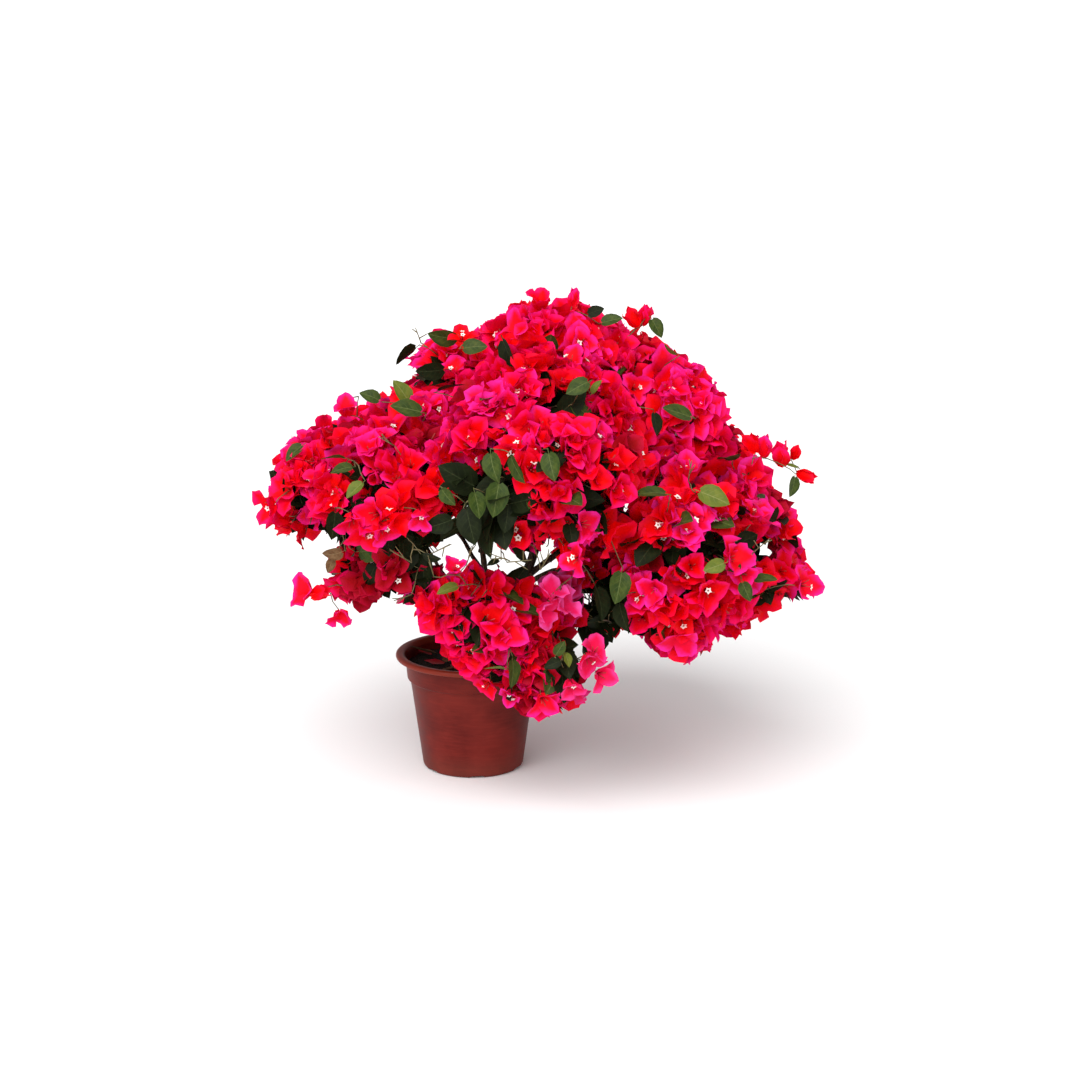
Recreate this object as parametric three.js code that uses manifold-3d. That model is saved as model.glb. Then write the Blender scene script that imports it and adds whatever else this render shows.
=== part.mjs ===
// A bougainvillea bush in full bloom, rooted in a round plastic nursery pot.
// Units are millimetres and +Z is up. The origin is the middle of the pot's flat underside.
// The front of the bush faces -Y, and its crown of blossom leans over the pot towards +X.
import * as THREE from 'three';
import { mergeVertices } from 'three/addons/utils/BufferGeometryUtils.js';
import Module from 'manifold-3d';

const wasm = await Module();
wasm.setup();

const SEED = 4117;
const CLEARANCE = 0.3; // air between pieces that touch on the real plant
const UP = new THREE.Vector3(0, 0, 1);
const GOLDEN_ANGLE = Math.PI * (3 - Math.sqrt(5));

// The pot is a thin moulded shell with a rolled rim, a collar under it and a tapering body.
const POT = {
  height: 195,
  rimRadius: 127.5,
  rimDepth: 10,
  collarRadius: 111,
  collarFootRadius: 109,
  collarDepth: 25,
  shoulderRadius: 104.5,
  shoulderDrop: 4,
  cornerRadius: 84,
  cornerHeight: 8,
  footRadius: 78,
  wall: 2.4,
  floor: 3,
  sides: 36,
};
const DRAIN = { count: 6, width: 24, height: 3.8, innerRadius: 66 };
const SOIL = { level: 179, edgeDrop: 5, edgeBand: 9 };

// The trunk leans out of the pot to the right and then stands up to its fork.
const TRUNK = {
  foot: [26, 4],
  rise: 48, // length of the upright start
  fork: [104, 6, 400],
  forkPull: [2, -2, -100], // from the fork back along its arriving direction
  footRadius: 12.5,
  forkRadius: 6.2,
  flare: 8,
  flareLength: 0.1, // share of the trunk's length
  sides: 8,
  steps: 10,
};
const BOUGH = { sides: 6, steps: 5, tipRadius: 2.6, follow: 0.45, lift: 0.25, bow: 0.33 };

// The crown hangs round an upright axis. Masses of foliage sit on it in tiers, each mass
// filling the part of a squashed ball that lies nearer to it than to its neighbours.
// Each tier has a ring with a half width along X and Y. A mass has its bearing from +X in
// degrees, its distance as a share of the ring, its rise over the tier, and the bough that
// carries it: the limb it leaves, at what share of that limb, and its radius there.
const CROWN = { axis: 112, heart: 420, squash: 0.85, droop: 0.1 };
const WINDOW = { lift: 110, bearing: -95, sharpness: 6 }; // the waist is raised over the stems
const TIERS = [
  {
    height: 672, ring: [100, 100], reach: 160, lift: 0,
    masses: [{ name: 'peak', bearing: 0, out: 0.26, rise: 0, from: 'trunk', at: 0.985, root: 5.2 }],
  },
  {
    height: 595, ring: [165, 165], reach: 162, lift: 0,
    masses: [
      { name: 'shoulder_left', bearing: 180, out: 0.86, rise: -5, from: 'trunk', at: 0.16, root: 6.4 },
      { name: 'shoulder_right', bearing: 0, out: 0.95, rise: 16, from: 'trunk', at: 0.9, root: 5 },
      { name: 'shoulder_back', bearing: 90, out: 1, rise: 0, from: 'bough_peak', at: 0.22, root: 3.8 },
      { name: 'shoulder_front', bearing: 270, out: 1, rise: 0, from: 'bough_shoulder_left', at: 0.5, root: 3.8 },
    ],
  },
  {
    height: 430, ring: [300, 235], reach: 165, lift: WINDOW.lift,
    masses: [
      { name: 'waist_left', bearing: 180, out: 1.03, rise: -12, from: 'trunk', at: 0.07, root: 6 },
      { name: 'waist_right', bearing: 0, out: 1, rise: 36, from: 'trunk', at: 0.7, root: 5.4 },
      { name: 'waist_back', bearing: 90, out: 1, rise: 0, from: 'trunk', at: 0.8, root: 4.4 },
      { name: 'waist_back_right', bearing: 45, out: 1, rise: 20, from: 'bough_waist_right', at: 0.2, root: 3.8 },
      { name: 'waist_back_left', bearing: 135, out: 1, rise: 20, from: 'bough_shoulder_left', at: 0.3, root: 4 },
      { name: 'waist_front_left', bearing: 225, out: 1, rise: 0, from: 'bough_waist_left', at: 0.34, root: 4 },
      { name: 'waist_front', bearing: 270, out: 1, rise: 0, from: 'bough_shoulder_right', at: 0.16, root: 3.8 },
      { name: 'waist_front_right', bearing: 315, out: 1, rise: 0, from: 'trunk', at: 0.6, root: 4.4 },
    ],
  },
  {
    height: 325, ring: [285, 200], reach: 135, lift: 0,
    masses: [
      { name: 'skirt_right', bearing: 0, out: 1.18, rise: 26, from: 'trunk', at: 0.42, root: 5.4 },
      { name: 'skirt_back_right', bearing: 45, out: 1, rise: 0, from: 'bough_skirt_right', at: 0.25, root: 3.6 },
      { name: 'skirt_front_right', bearing: 315, out: 1, rise: 12, from: 'bough_skirt_right', at: 0.4, root: 3.6 },
      { name: 'skirt_front', bearing: 297, out: 0.72, rise: 0, from: 'trunk', at: 0.34, root: 4 },
    ],
  },
  {
    height: 325, ring: [300, 215], reach: 125, lift: 0,
    masses: [
      { name: 'spray_left', bearing: 194, out: 1, rise: 0, from: 'bough_waist_left', at: 0.5, root: 3.4 },
      { name: 'spray_front', bearing: 250, out: 1, rise: -5, from: 'trunk', at: 0.3, root: 4.2 },
      {
        name: 'spray_low', bearing: 276, out: 0.9, rise: -76, reach: 112,
        from: 'bough_spray_front', at: 0.4, root: 3.2,
      },
    ],
  },
];

// Inside a mass, twigs run from one stem to blossoms spread evenly over the mass's outside.
const SPRAY = {
  candidates: 139, // directions tried all round, a prime number
  stride: 52, // from one direction tried to the next
  most: 15, // blossoms in one mass
  inward: -0.3, // cosine from the outward direction past which nothing grows
  depths: [1, 0.93, 0.86, 0.79, 0.72, 0.65, 0.58, 0.5], // shares of the reach tried in turn
  stemSides: 4,
  stemSteps: 3,
  stemTipRadius: 1.8,
  entry: 0.5, // where the stem starts, as a share of the reach back from the middle
  leader: 0.4, // how far past the middle it goes
  twigRoot: 1,
  twigTip: 0.8,
  rootWander: 0.16, // share of the stem that a twig's root moves by
  back: 0.25, // how far back down the stem a twig leaves
  wander: 0.3, // of a blossom's facing
  lift: 0.25, // of a blossom's facing
  turnOut: 0.7, // of a blossom's facing, towards the mass's own outward side
  leafEvery: 3,
};
// A blossom's radius is a share of its mass's reach: the first size that has room is grown.
const BLOSSOM = { sizes: [0.37, 0.28], cup: 0.33, dish: 3, base: 8 };
const LEAF = { length: 90, width: 58, thickness: 3, sink: 8, along: 0.62, widest: 0.42 };
const CELL_MARGIN = 1;

const COLOURS = {
  pot: [0x74302a, 0.5],
  soil: [0x1d1411, 0.95],
  bark: [0x4a3026, 0.85],
  foliage: [0xd91548, 0.7],
};

/** A number stream in 0..1 that always repeats for one seed. */
function numbersFrom(seed) {
  let state = seed >>> 0;
  return () => {
    state = (state + 0x6d2b79f5) >>> 0;
    let mixed = state;
    mixed = Math.imul(mixed ^ (mixed >>> 15), mixed | 1);
    mixed ^= mixed + Math.imul(mixed ^ (mixed >>> 7), mixed | 61);
    return ((mixed ^ (mixed >>> 14)) >>> 0) / 4294967296;
  };
}

/** The closed solid of a three.js geometry. */
function toSolid(geometry) {
  const bare = geometry.clone();
  bare.deleteAttribute('normal');
  bare.deleteAttribute('uv');
  const merged = mergeVertices(bare, 1e-4);
  return new wasm.Manifold(new wasm.Mesh({
    numProp: 3,
    vertProperties: merged.attributes.position.array,
    triVerts: new Uint32Array(merged.index.array),
  }));
}

/** The three.js geometry of a solid. */
function toGeometry(solid) {
  const mesh = solid.getMesh();
  return new THREE.BufferGeometry()
    .setAttribute('position', new THREE.BufferAttribute(mesh.vertProperties, 3))
    .setIndex(new THREE.BufferAttribute(mesh.triVerts, 1));
}

/** Moves each vertex of a geometry to where place(vertex) says. */
function reshape(geometry, place) {
  const positions = geometry.attributes.position;
  const vertex = new THREE.Vector3();
  for (let i = 0; i < positions.count; i += 1) {
    const moved = place(vertex.fromBufferAttribute(positions, i));
    positions.setXYZ(i, moved.x, moved.y, moved.z);
  }
  return geometry;
}

/** The vertices of a geometry as vectors. */
function verticesOf(geometry) {
  const positions = geometry.attributes.position;
  return Array.from({ length: positions.count },
    (_, i) => new THREE.Vector3().fromBufferAttribute(positions, i));
}

/** Joins solids and keeps the largest closed body, without loose scraps. */
function fuse(solids) {
  const bodies = wasm.Manifold.union(solids).decompose();
  return bodies.reduce((best, body) => (body.volume() > best.volume() ? body : best));
}

/** A closed solid of revolution about +Z, from (radius, height) points. */
function turned(points, sides) {
  const profile = points.map(([radius, height]) => new THREE.Vector2(radius, height));
  return toSolid(new THREE.LatheGeometry(profile, sides).rotateX(Math.PI / 2));
}

/** Heights on the pot where its outline changes. */
function potLevels() {
  const rimFoot = POT.height - POT.rimDepth;
  const collarFoot = rimFoot - POT.collarDepth;
  return { rimFoot, collarFoot, shoulder: collarFoot - POT.shoulderDrop };
}

/** The inside line of the pot's wall, drawn in by a gap, from the floor up. */
function potLining(gap) {
  const { rimFoot, collarFoot, shoulder } = potLevels();
  const inset = POT.wall + gap;
  return [
    [POT.footRadius + 1 - gap, POT.floor + 1 + gap],
    [POT.cornerRadius - inset, POT.cornerHeight + 1 + gap],
    [POT.shoulderRadius - inset, shoulder + gap],
    [POT.collarFootRadius - inset, collarFoot + 1.5 + gap],
    [POT.collarRadius - inset, rimFoot],
  ];
}

/** The moulded pot with drain notches round its foot. */
function potSolid() {
  const { rimFoot, collarFoot, shoulder } = potLevels();
  const lining = potLining(0);
  const outline = [
    [0, 0],
    [POT.footRadius, 0],
    [POT.footRadius + 4, POT.cornerHeight * 0.3],
    [POT.cornerRadius, POT.cornerHeight],
    [POT.shoulderRadius, shoulder],
    [POT.collarFootRadius, collarFoot],
    [POT.collarRadius, rimFoot],
    [POT.rimRadius - 2, rimFoot + 0.6],
    [POT.rimRadius, rimFoot + POT.rimDepth * 0.45],
    [POT.rimRadius - 3.5, POT.height],
    [POT.collarRadius - 1, POT.height],
    ...lining.reverse(),
    [0, POT.floor],
  ];
  const shell = turned(outline, POT.sides);
  const reach = POT.cornerRadius - DRAIN.innerRadius + 4;
  const notches = Array.from({ length: DRAIN.count }, (_, i) => {
    const block = new THREE.BoxGeometry(reach, DRAIN.width, DRAIN.height * 2);
    block.translate(DRAIN.innerRadius + reach / 2, 0, 0);
    return toSolid(block.rotateZ(((i + 0.6) * 2 * Math.PI) / DRAIN.count));
  });
  return shell.subtract(wasm.Manifold.union(notches));
}

/** The compost that fills the pot to just under its rim. */
function soilSolid() {
  const sides = potLining(CLEARANCE);
  const [low, high] = sides.slice(-2);
  const edge = SOIL.level - SOIL.edgeDrop;
  const share = (edge - low[1]) / (high[1] - low[1]);
  const edgeRadius = low[0] + share * (high[0] - low[0]);
  return turned([
    [0, POT.floor + CLEARANCE],
    ...sides.slice(0, -1),
    [edgeRadius, edge],
    [edgeRadius - SOIL.edgeBand, SOIL.level],
    [0, SOIL.level],
  ], POT.sides);
}

/** A tapering round limb along a curve. Its ends are square to the curve. */
function limbGeometry(curve, radiusAt, sides, steps) {
  const frames = Array.from({ length: steps + 1 }, (_, i) => ({
    at: curve.getPoint(i / steps),
    along: curve.getTangent(i / steps),
    radius: radiusAt(i / steps),
  }));
  const side = new THREE.Vector3(0, 1, 0.01).cross(frames[0].along).normalize();
  frames.forEach((frame) => {
    side.addScaledVector(frame.along, -side.dot(frame.along)).normalize();
    frame.side = side.clone();
    frame.across = frame.along.clone().cross(side);
  });
  return reshape(new THREE.CylinderGeometry(1, 1, 1, sides, steps), ({ x, y, z }) => {
    const { at, side: right, across, radius } = frames[Math.round((y + 0.5) * steps)];
    return at.clone()
      .addScaledVector(right, x * radius)
      .addScaledVector(across, -z * radius);
  });
}

/** The trunk's centre line, from the soil to its fork. */
function trunkCurve() {
  const foot = new THREE.Vector3(...TRUNK.foot, SOIL.level + CLEARANCE);
  const fork = new THREE.Vector3(...TRUNK.fork);
  const lower = foot.clone().addScaledVector(UP, TRUNK.rise);
  const upper = fork.clone().add(new THREE.Vector3(...TRUNK.forkPull));
  return new THREE.CubicBezierCurve3(foot, lower, upper, fork);
}

/** The trunk's radius, with its root flare. */
function trunkRadius(share) {
  const taper = THREE.MathUtils.lerp(TRUNK.footRadius, TRUNK.forkRadius, share);
  return taper + TRUNK.flare * Math.exp(-share / TRUNK.flareLength);
}

/** Every mass of the crown, with its middle and its outward direction. */
function crownMasses() {
  const heart = new THREE.Vector3(CROWN.axis, 0, CROWN.heart);
  return TIERS.flatMap(({ height, ring, reach, lift, masses }) => masses.map((mass) => {
    const bearing = THREE.MathUtils.degToRad(mass.bearing);
    const off = THREE.MathUtils.degToRad(mass.bearing - WINDOW.bearing);
    const raised = lift * Math.max(0, Math.cos(off)) ** WINDOW.sharpness;
    const side = ring[0] * mass.out * Math.cos(bearing);
    const middle = new THREE.Vector3(
      CROWN.axis + side,
      ring[1] * mass.out * Math.sin(bearing),
      height + mass.rise + raised - CROWN.droop * side,
    );
    return { reach, ...mass, middle, outward: middle.clone().sub(heart).normalize() };
  }));
}

/** A vector as it lies in the space where every mass is a round ball. */
function unsquashed(vector) {
  return new THREE.Vector3(vector.x, vector.y, vector.z / CROWN.squash);
}

/** True if every point lies in the mass's ball and on its own side of each neighbour. */
function keepsItsSpace(points, mass, masses) {
  return points.every((point) => {
    const offset = unsquashed(point.clone().sub(mass.middle));
    const own = offset.lengthSq() - mass.reach ** 2;
    return own <= 0 && masses.every((other) => {
      if (other === mass) return true;
      const apart = unsquashed(other.middle.clone().sub(mass.middle)).length();
      const theirs = unsquashed(point.clone().sub(other.middle)).lengthSq() - other.reach ** 2;
      return theirs - own >= 2 * CELL_MARGIN * apart;
    });
  });
}

/** Where a bough ends and the mass's own stem begins. */
function entryPoint(mass, from, masses) {
  const towards = mass.middle.clone().sub(from).normalize();
  let depth = SPRAY.entry;
  let point = mass.middle.clone();
  do {
    point = mass.middle.clone().addScaledVector(towards, -depth * mass.reach);
    depth -= 0.05;
  } while (depth > 0.1 && !keepsItsSpace([point], mass, masses));
  return point;
}

/** The centre line of the bough that carries a mass. */
function boughCurve(mass, parentCurve, masses) {
  const root = parentCurve.getPoint(mass.at);
  const tip = entryPoint(mass, root, masses);
  const straight = tip.clone().sub(root);
  const length = straight.length() * BOUGH.bow;
  straight.normalize();
  const leaving = parentCurve.getTangent(mass.at).multiplyScalar(BOUGH.follow)
    .addScaledVector(straight, 1 - BOUGH.follow)
    .addScaledVector(UP, BOUGH.lift)
    .normalize();
  const arriving = mass.middle.clone().sub(tip).normalize().add(straight)
    .normalize();
  return new THREE.CubicBezierCurve3(
    root,
    root.clone().addScaledVector(leaving, length),
    tip.clone().addScaledVector(arriving, -length),
    tip,
  );
}

/** All the limbs as {name, curve, radiusAt, sides, steps}, each after the limb it leaves. */
function limbsOf(masses) {
  const limbs = [{
    name: 'trunk', curve: trunkCurve(), radiusAt: trunkRadius, sides: TRUNK.sides, steps: TRUNK.steps,
  }];
  const waiting = [...masses];
  while (waiting.length) {
    const mass = waiting.shift();
    const parent = limbs.find(({ name }) => name === mass.from);
    if (!parent) {
      waiting.push(mass);
      continue;
    }
    const radiusAt = (share) => THREE.MathUtils.lerp(mass.root, BOUGH.tipRadius, share);
    const curve = boughCurve(mass, parent.curve, masses);
    mass.bough = curve;
    limbs.push({ name: `bough_${mass.name}`, curve, radiusAt, sides: BOUGH.sides, steps: BOUGH.steps });
  }
  return limbs;
}

/** Builds each limb, its root cut to sit against the limbs made before it. */
function buildLimbs(limbs) {
  const built = [];
  let taken = null;
  limbs.forEach(({ name, curve, radiusAt, sides, steps }) => {
    const solid = toSolid(limbGeometry(curve, radiusAt, sides, steps));
    const around = toSolid(limbGeometry(curve, (t) => radiusAt(t) + CLEARANCE, sides, steps));
    built.push({ name, solid: taken ? fuse([solid.subtract(taken)]) : solid });
    taken = taken ? taken.add(around) : around;
  });
  return { built, taken };
}

/** Turns a geometry whose axis is +Z to face along a direction, and moves it there. */
function aimed(geometry, facing, turn, at) {
  const aim = new THREE.Quaternion().setFromUnitVectors(UP, facing);
  const spin = new THREE.Quaternion().setFromAxisAngle(UP, turn);
  return geometry.applyQuaternion(aim.multiply(spin)).translate(at.x, at.y, at.z);
}

/** Three papery bracts as one three-cornered cup, its corners raised over its middle. */
function blossomGeometry(radius) {
  const { cup, dish, base } = BLOSSOM;
  return reshape(new THREE.ConeGeometry(1, 1, 3, 1), ({ x, y, z }) => {
    if (y > 0) return new THREE.Vector3(0, 0, -base);
    if (Math.hypot(x, z) < 0.5) return new THREE.Vector3(0, 0, -dish);
    return new THREE.Vector3(x, z, cup).multiplyScalar(radius);
  });
}

/** One pointed leaf along +X, its blade across Y, thin in Z. */
function leafGeometry() {
  const { length, width, thickness, sink, widest } = LEAF;
  return reshape(new THREE.OctahedronGeometry(1, 0), ({ x, y, z }) => {
    const middle = widest * length - sink;
    if (Math.abs(x) > 0.5) return new THREE.Vector3(x > 0 ? length - sink : -sink, 0, 0);
    return new THREE.Vector3(middle, (y * width) / 2, (z * thickness) / 2);
  });
}

/** A straight three-sided twig between two points. */
function twigGeometry(from, to) {
  const along = to.clone().sub(from);
  const twig = new THREE.CylinderGeometry(SPRAY.twigTip, SPRAY.twigRoot, along.length(), 3, 1);
  twig.rotateX(Math.PI / 2);
  return aimed(twig, along.clone().normalize(), 0, from.clone().addScaledVector(along, 0.5));
}

/** Shoots spread evenly over a mass's outward side, each with its seeded turns. */
function shootsOf({ outward }, random) {
  const shoots = Array.from({ length: SPRAY.candidates }, (_, i) => {
    const place = (i * SPRAY.stride) % SPRAY.candidates;
    const height = 1 - (2 * place + 1) / SPRAY.candidates;
    const turn = place * GOLDEN_ANGLE + 0.5 * random();
    const across = Math.sqrt(1 - height * height);
    const direction = new THREE.Vector3(Math.cos(turn) * across, Math.sin(turn) * across, height);
    const jitter = new THREE.Vector3(random() - 0.5, random() - 0.5, random() - 0.5);
    const facing = direction.clone().addScaledVector(UP, SPRAY.lift)
      .addScaledVector(outward, SPRAY.turnOut)
      .addScaledVector(jitter, 2 * SPRAY.wander)
      .normalize();
    return {
      direction,
      facing,
      spin: 2 * Math.PI * random(),
      roll: Math.PI * (random() - 0.5),
      shift: SPRAY.rootWander * (random() - 0.5),
    };
  });
  return shoots.filter(({ direction }) => direction.dot(outward) >= SPRAY.inward);
}

/** The stem inside a mass, which goes on from the bough's tip past the middle. */
function stemCurve({ bough, middle, outward, reach }) {
  const along = bough.getTangent(1);
  const start = bough.getPoint(1).addScaledVector(along, CLEARANCE);
  const end = middle.clone().addScaledVector(outward, SPRAY.leader * reach);
  const bow = start.distanceTo(end) / 3;
  const arriving = outward.clone().addScaledVector(UP, 0.3).normalize();
  return new THREE.CubicBezierCurve3(
    start,
    start.clone().addScaledVector(along, bow),
    end.clone().addScaledVector(arriving, -bow),
    end,
  );
}

/** The point of a stem that a twig to a tip leaves from, moved along the stem by shift. */
function twigRoot(stem, tip, shift) {
  const [start, end] = [stem.getPoint(0), stem.getPoint(1)];
  const span = end.clone().sub(start);
  const share = tip.clone().sub(start).dot(span) / span.lengthSq() - SPRAY.back + shift;
  return stem.getPoint(THREE.MathUtils.clamp(share, 0.12 + Math.abs(shift), 0.97 - Math.abs(shift)));
}

/** One mass of foliage as it grows: a stem, then twigs with a blossom and leaves. */
class Spray {
  constructor(mass, masses, limbs, seed) {
    this.mass = mass;
    this.masses = masses;
    this.limbs = limbs;
    this.shoots = shootsOf(mass, numbersFrom(seed));
    this.stem = stemCurve(mass);
    const radiusAt = (share) => THREE.MathUtils.lerp(BOUGH.tipRadius, SPRAY.stemTipRadius, share);
    this.twigs = [toSolid(limbGeometry(this.stem, radiusAt, SPRAY.stemSides, SPRAY.stemSteps))];
    this.blades = [];
  }

  /** True if a shape keeps to the mass's space and touches no limb, blade or other given solid. */
  hasRoom(geometry, others = []) {
    if (!keepsItsSpace(verticesOf(geometry), this.mass, this.masses)) return false;
    const solid = toSolid(geometry);
    return [this.limbs, ...this.blades, ...others].every(
      (other) => solid.intersect(other).isEmpty(),
    );
  }

  /** Tries one blossom of a size on its twig at a depth; gives the twig's ends if it had room. */
  addBlossom({ direction, facing, spin, shift }, size, depth) {
    const { middle, reach } = this.mass;
    // at full depth the blossom's corners touch the ball
    const distance = Math.sqrt(depth ** 2 - size ** 2) - size * BLOSSOM.cup;
    const out = direction.clone().multiplyScalar(reach * distance);
    out.z *= CROWN.squash;
    const tip = middle.clone().add(out);
    const root = twigRoot(this.stem, tip, shift);
    const twig = twigGeometry(root, tip.clone().addScaledVector(facing, -BLOSSOM.base * 0.7));
    const blossom = aimed(blossomGeometry(reach * size), facing, spin, tip);
    if (!this.hasRoom(twig) || !this.hasRoom(blossom, this.twigs)) return null;
    this.twigs.push(toSolid(twig));
    this.blades.push(toSolid(blossom));
    return { root, tip };
  }

  /** Tries one leaf at the side of a twig, turned about it by roll. */
  addLeaf({ root, tip }, roll) {
    const along = tip.clone().sub(root).normalize();
    const side = along.clone().cross(UP).normalize().applyAxisAngle(along, roll);
    const pointing = side.addScaledVector(along, 0.4).normalize();
    const blade = along.clone().addScaledVector(pointing, -along.dot(pointing)).normalize();
    const turn = new THREE.Matrix4().makeBasis(pointing, blade.clone().cross(pointing), blade);
    const at = root.clone().lerp(tip, LEAF.along);
    const leaf = leafGeometry().applyMatrix4(turn).translate(at.x, at.y, at.z);
    if (this.hasRoom(leaf, this.twigs.slice(0, -1))) this.blades.push(toSolid(leaf));
  }

  /** Grows the large blossoms, then small ones in the room that is left. */
  grow() {
    const waiting = new Set(this.shoots);
    const grown = () => this.shoots.length - waiting.size;
    BLOSSOM.sizes.forEach((size) => [...waiting].forEach((shoot) => {
      if (grown() >= SPRAY.most) return;
      const twig = SPRAY.depths.reduce(
        (found, depth) => found || this.addBlossom(shoot, size, depth),
        null,
      );
      if (!twig) return;
      waiting.delete(shoot);
      if (grown() % SPRAY.leafEvery === 0) this.addLeaf(twig, shoot.roll);
    }));
    return fuse([...this.twigs, ...this.blades]);
  }
}

/** A named mesh of one solid. */
function piece(name, solid, [color, roughness]) {
  const material = new THREE.MeshStandardMaterial({ color, roughness, metalness: 0 });
  const mesh = new THREE.Mesh(toGeometry(solid), material);
  mesh.name = name;
  return mesh;
}

const bush = new THREE.Group();
const pot = potSolid();
const soil = soilSolid();
bush.add(piece('pot', pot, COLOURS.pot));
bush.add(piece('soil', soil, COLOURS.soil));

const masses = crownMasses();
const { built, taken } = buildLimbs(limbsOf(masses));
built.forEach(({ name, solid }) => bush.add(piece(name, solid, COLOURS.bark)));

const obstacles = wasm.Manifold.union([taken, pot, soil]);
masses.forEach((mass, index) => {
  const spray = new Spray(mass, masses, obstacles, SEED + 101 * index);
  bush.add(piece(`foliage_${mass.name}`, spray.grow(), COLOURS.foliage));
});

export default bush;
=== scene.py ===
"""A potted bougainvillea bush in full flower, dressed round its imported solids.

Shapes are worked out in millimetres and become metres when a mesh is made. The pot stands
on Z = 0, the front of the bush faces -Y and its crown leans to +X.
"""

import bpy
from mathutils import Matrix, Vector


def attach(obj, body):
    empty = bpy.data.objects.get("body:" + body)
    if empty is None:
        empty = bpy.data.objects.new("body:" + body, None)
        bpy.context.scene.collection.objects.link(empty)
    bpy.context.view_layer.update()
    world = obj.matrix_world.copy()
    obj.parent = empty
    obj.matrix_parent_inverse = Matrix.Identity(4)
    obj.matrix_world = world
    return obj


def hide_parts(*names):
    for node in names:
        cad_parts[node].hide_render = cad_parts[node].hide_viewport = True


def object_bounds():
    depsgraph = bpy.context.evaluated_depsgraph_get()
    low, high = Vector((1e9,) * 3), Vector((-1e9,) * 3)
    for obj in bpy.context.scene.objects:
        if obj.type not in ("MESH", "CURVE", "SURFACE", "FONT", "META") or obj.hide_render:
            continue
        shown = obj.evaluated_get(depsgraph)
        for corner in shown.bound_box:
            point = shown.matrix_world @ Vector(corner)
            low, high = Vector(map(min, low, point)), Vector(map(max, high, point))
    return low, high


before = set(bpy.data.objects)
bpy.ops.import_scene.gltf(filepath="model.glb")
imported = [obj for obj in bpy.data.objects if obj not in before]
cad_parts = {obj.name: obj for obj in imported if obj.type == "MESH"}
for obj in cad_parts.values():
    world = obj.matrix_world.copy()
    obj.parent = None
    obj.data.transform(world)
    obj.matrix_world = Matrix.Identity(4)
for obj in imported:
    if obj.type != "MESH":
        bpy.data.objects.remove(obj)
CAD_BOX = [list(corner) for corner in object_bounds()]

import logging
import math
from dataclasses import dataclass, field
from enum import Enum

import bmesh
import bpy
import numpy as np
from mathutils import Vector

LOG = logging.getLogger("bougainvillea")
METRE = 0.001
WELD_GAP = 1e-6
NEARLY_LEVEL = 1e-9
NO_LENGTH = 1e-12
NEARLY_UPRIGHT = 0.9
SEED = 4117
UP = np.array([0.0, 0.0, 1.0])
TURN = 2 * math.pi
LOOSE_TURN = 6.3  # about a whole turn, for phases drawn at random
GOLDEN_ANGLE = math.pi * (3 - math.sqrt(5))
OWN_MAP = "OFBake"

Array = np.ndarray
Rng = np.random.Generator
Socket = bpy.types.NodeSocket
Material = bpy.types.Material
Number = float | Array
Span = tuple[float, float]
Triple = tuple[float, float, float]
Colour = Triple
Paint = Colour | Socket
Table = dict[str, Array]

# The photograph's view: the point looked at, the distance to it, how steeply it looks down
# and how many millimetres one of its pixels covers at that point. AHEAD, ACROSS and ABOVE
# are the view's own directions.
AIM = np.array([112.0, 0.0, 385.0])
VIEW_DISTANCE = 4500.0
VIEW_HEIGHT = math.radians(14.0)
MM_PER_PIXEL = 1.645
PICTURE_SIDE = 1080
AHEAD = np.array([0.0, math.cos(VIEW_HEIGHT), -math.sin(VIEW_HEIGHT)])
ACROSS = np.array([1.0, 0.0, 0.0])
ABOVE = np.array([0.0, math.sin(VIEW_HEIGHT), math.cos(VIEW_HEIGHT)])
EYE = AIM - VIEW_DISTANCE * AHEAD


# Numbers and vectors


def unit(vectors: Array) -> Array:
    """Vectors brought to length one along their last axis."""
    return vectors / np.maximum(np.linalg.norm(vectors, axis=-1, keepdims=True), NO_LENGTH)


def blend(low: Number, high: Number, share: Number) -> Number:
    """The straight mix from low to high."""
    return low + (high - low) * share


def between(first: Colour, second: Colour, share: float = 0.5) -> Colour:
    """The colour at a share of the way from the first to the second."""
    return tuple(blend(np.array(first), np.array(second), share).tolist())


def ease(low: float, high: float, value: Array) -> Array:
    """A smooth step from 0 at low to 1 at high."""
    share = np.clip((value - low) / (high - low), 0.0, 1.0)
    return share * share * (3 - 2 * share)


def drawn(rng: Rng, span: Span, size: int | tuple[int, ...] | None = None) -> Number:
    """Numbers drawn evenly from the span's first up, by no more than its second."""
    return span[0] + span[1] * rng.random(size)


def source_numbers(seed: int, count: int) -> Array:
    """The solids' own stream of numbers in 0..1, so that a twig leaves where it does there.

    Args:
        seed: The mass's seed.
        count: How many numbers.

    Returns:
        The numbers, each a scrambled multiple of one odd constant.
    """
    mask = (1 << 32) - 1
    state = (seed + 0x6D2B79F5 * np.arange(1, count + 1, dtype=np.uint64)) & mask
    mixed = ((state ^ (state >> 15)) * (state | 1)) & mask
    mixed ^= (mixed + (mixed ^ (mixed >> 7)) * (mixed | 61)) & mask
    return (mixed ^ (mixed >> 14)) / (mask + 1.0)


def frames_along(axes: Array, rolls: Array) -> Array:
    """Turns that bring +Z on to each axis, rolled about it.

    Args:
        axes: (N, 3) unit vectors.
        rolls: (N,) angles in radians.

    Returns:
        (N, 3, 3) matrices whose columns are the turned X, Y and Z.
    """
    steep = np.abs(axes[:, 2:]) > NEARLY_UPRIGHT
    helper = np.where(steep, [[1.0, 0.0, 0.0]], [[0.0, 0.0, 1.0]])
    right = unit(np.cross(helper, axes))
    ahead = np.cross(axes, right)
    cos, sin = np.cos(rolls)[:, None], np.sin(rolls)[:, None]
    return np.stack([cos * right + sin * ahead, cos * ahead - sin * right, axes], axis=-1)


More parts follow.
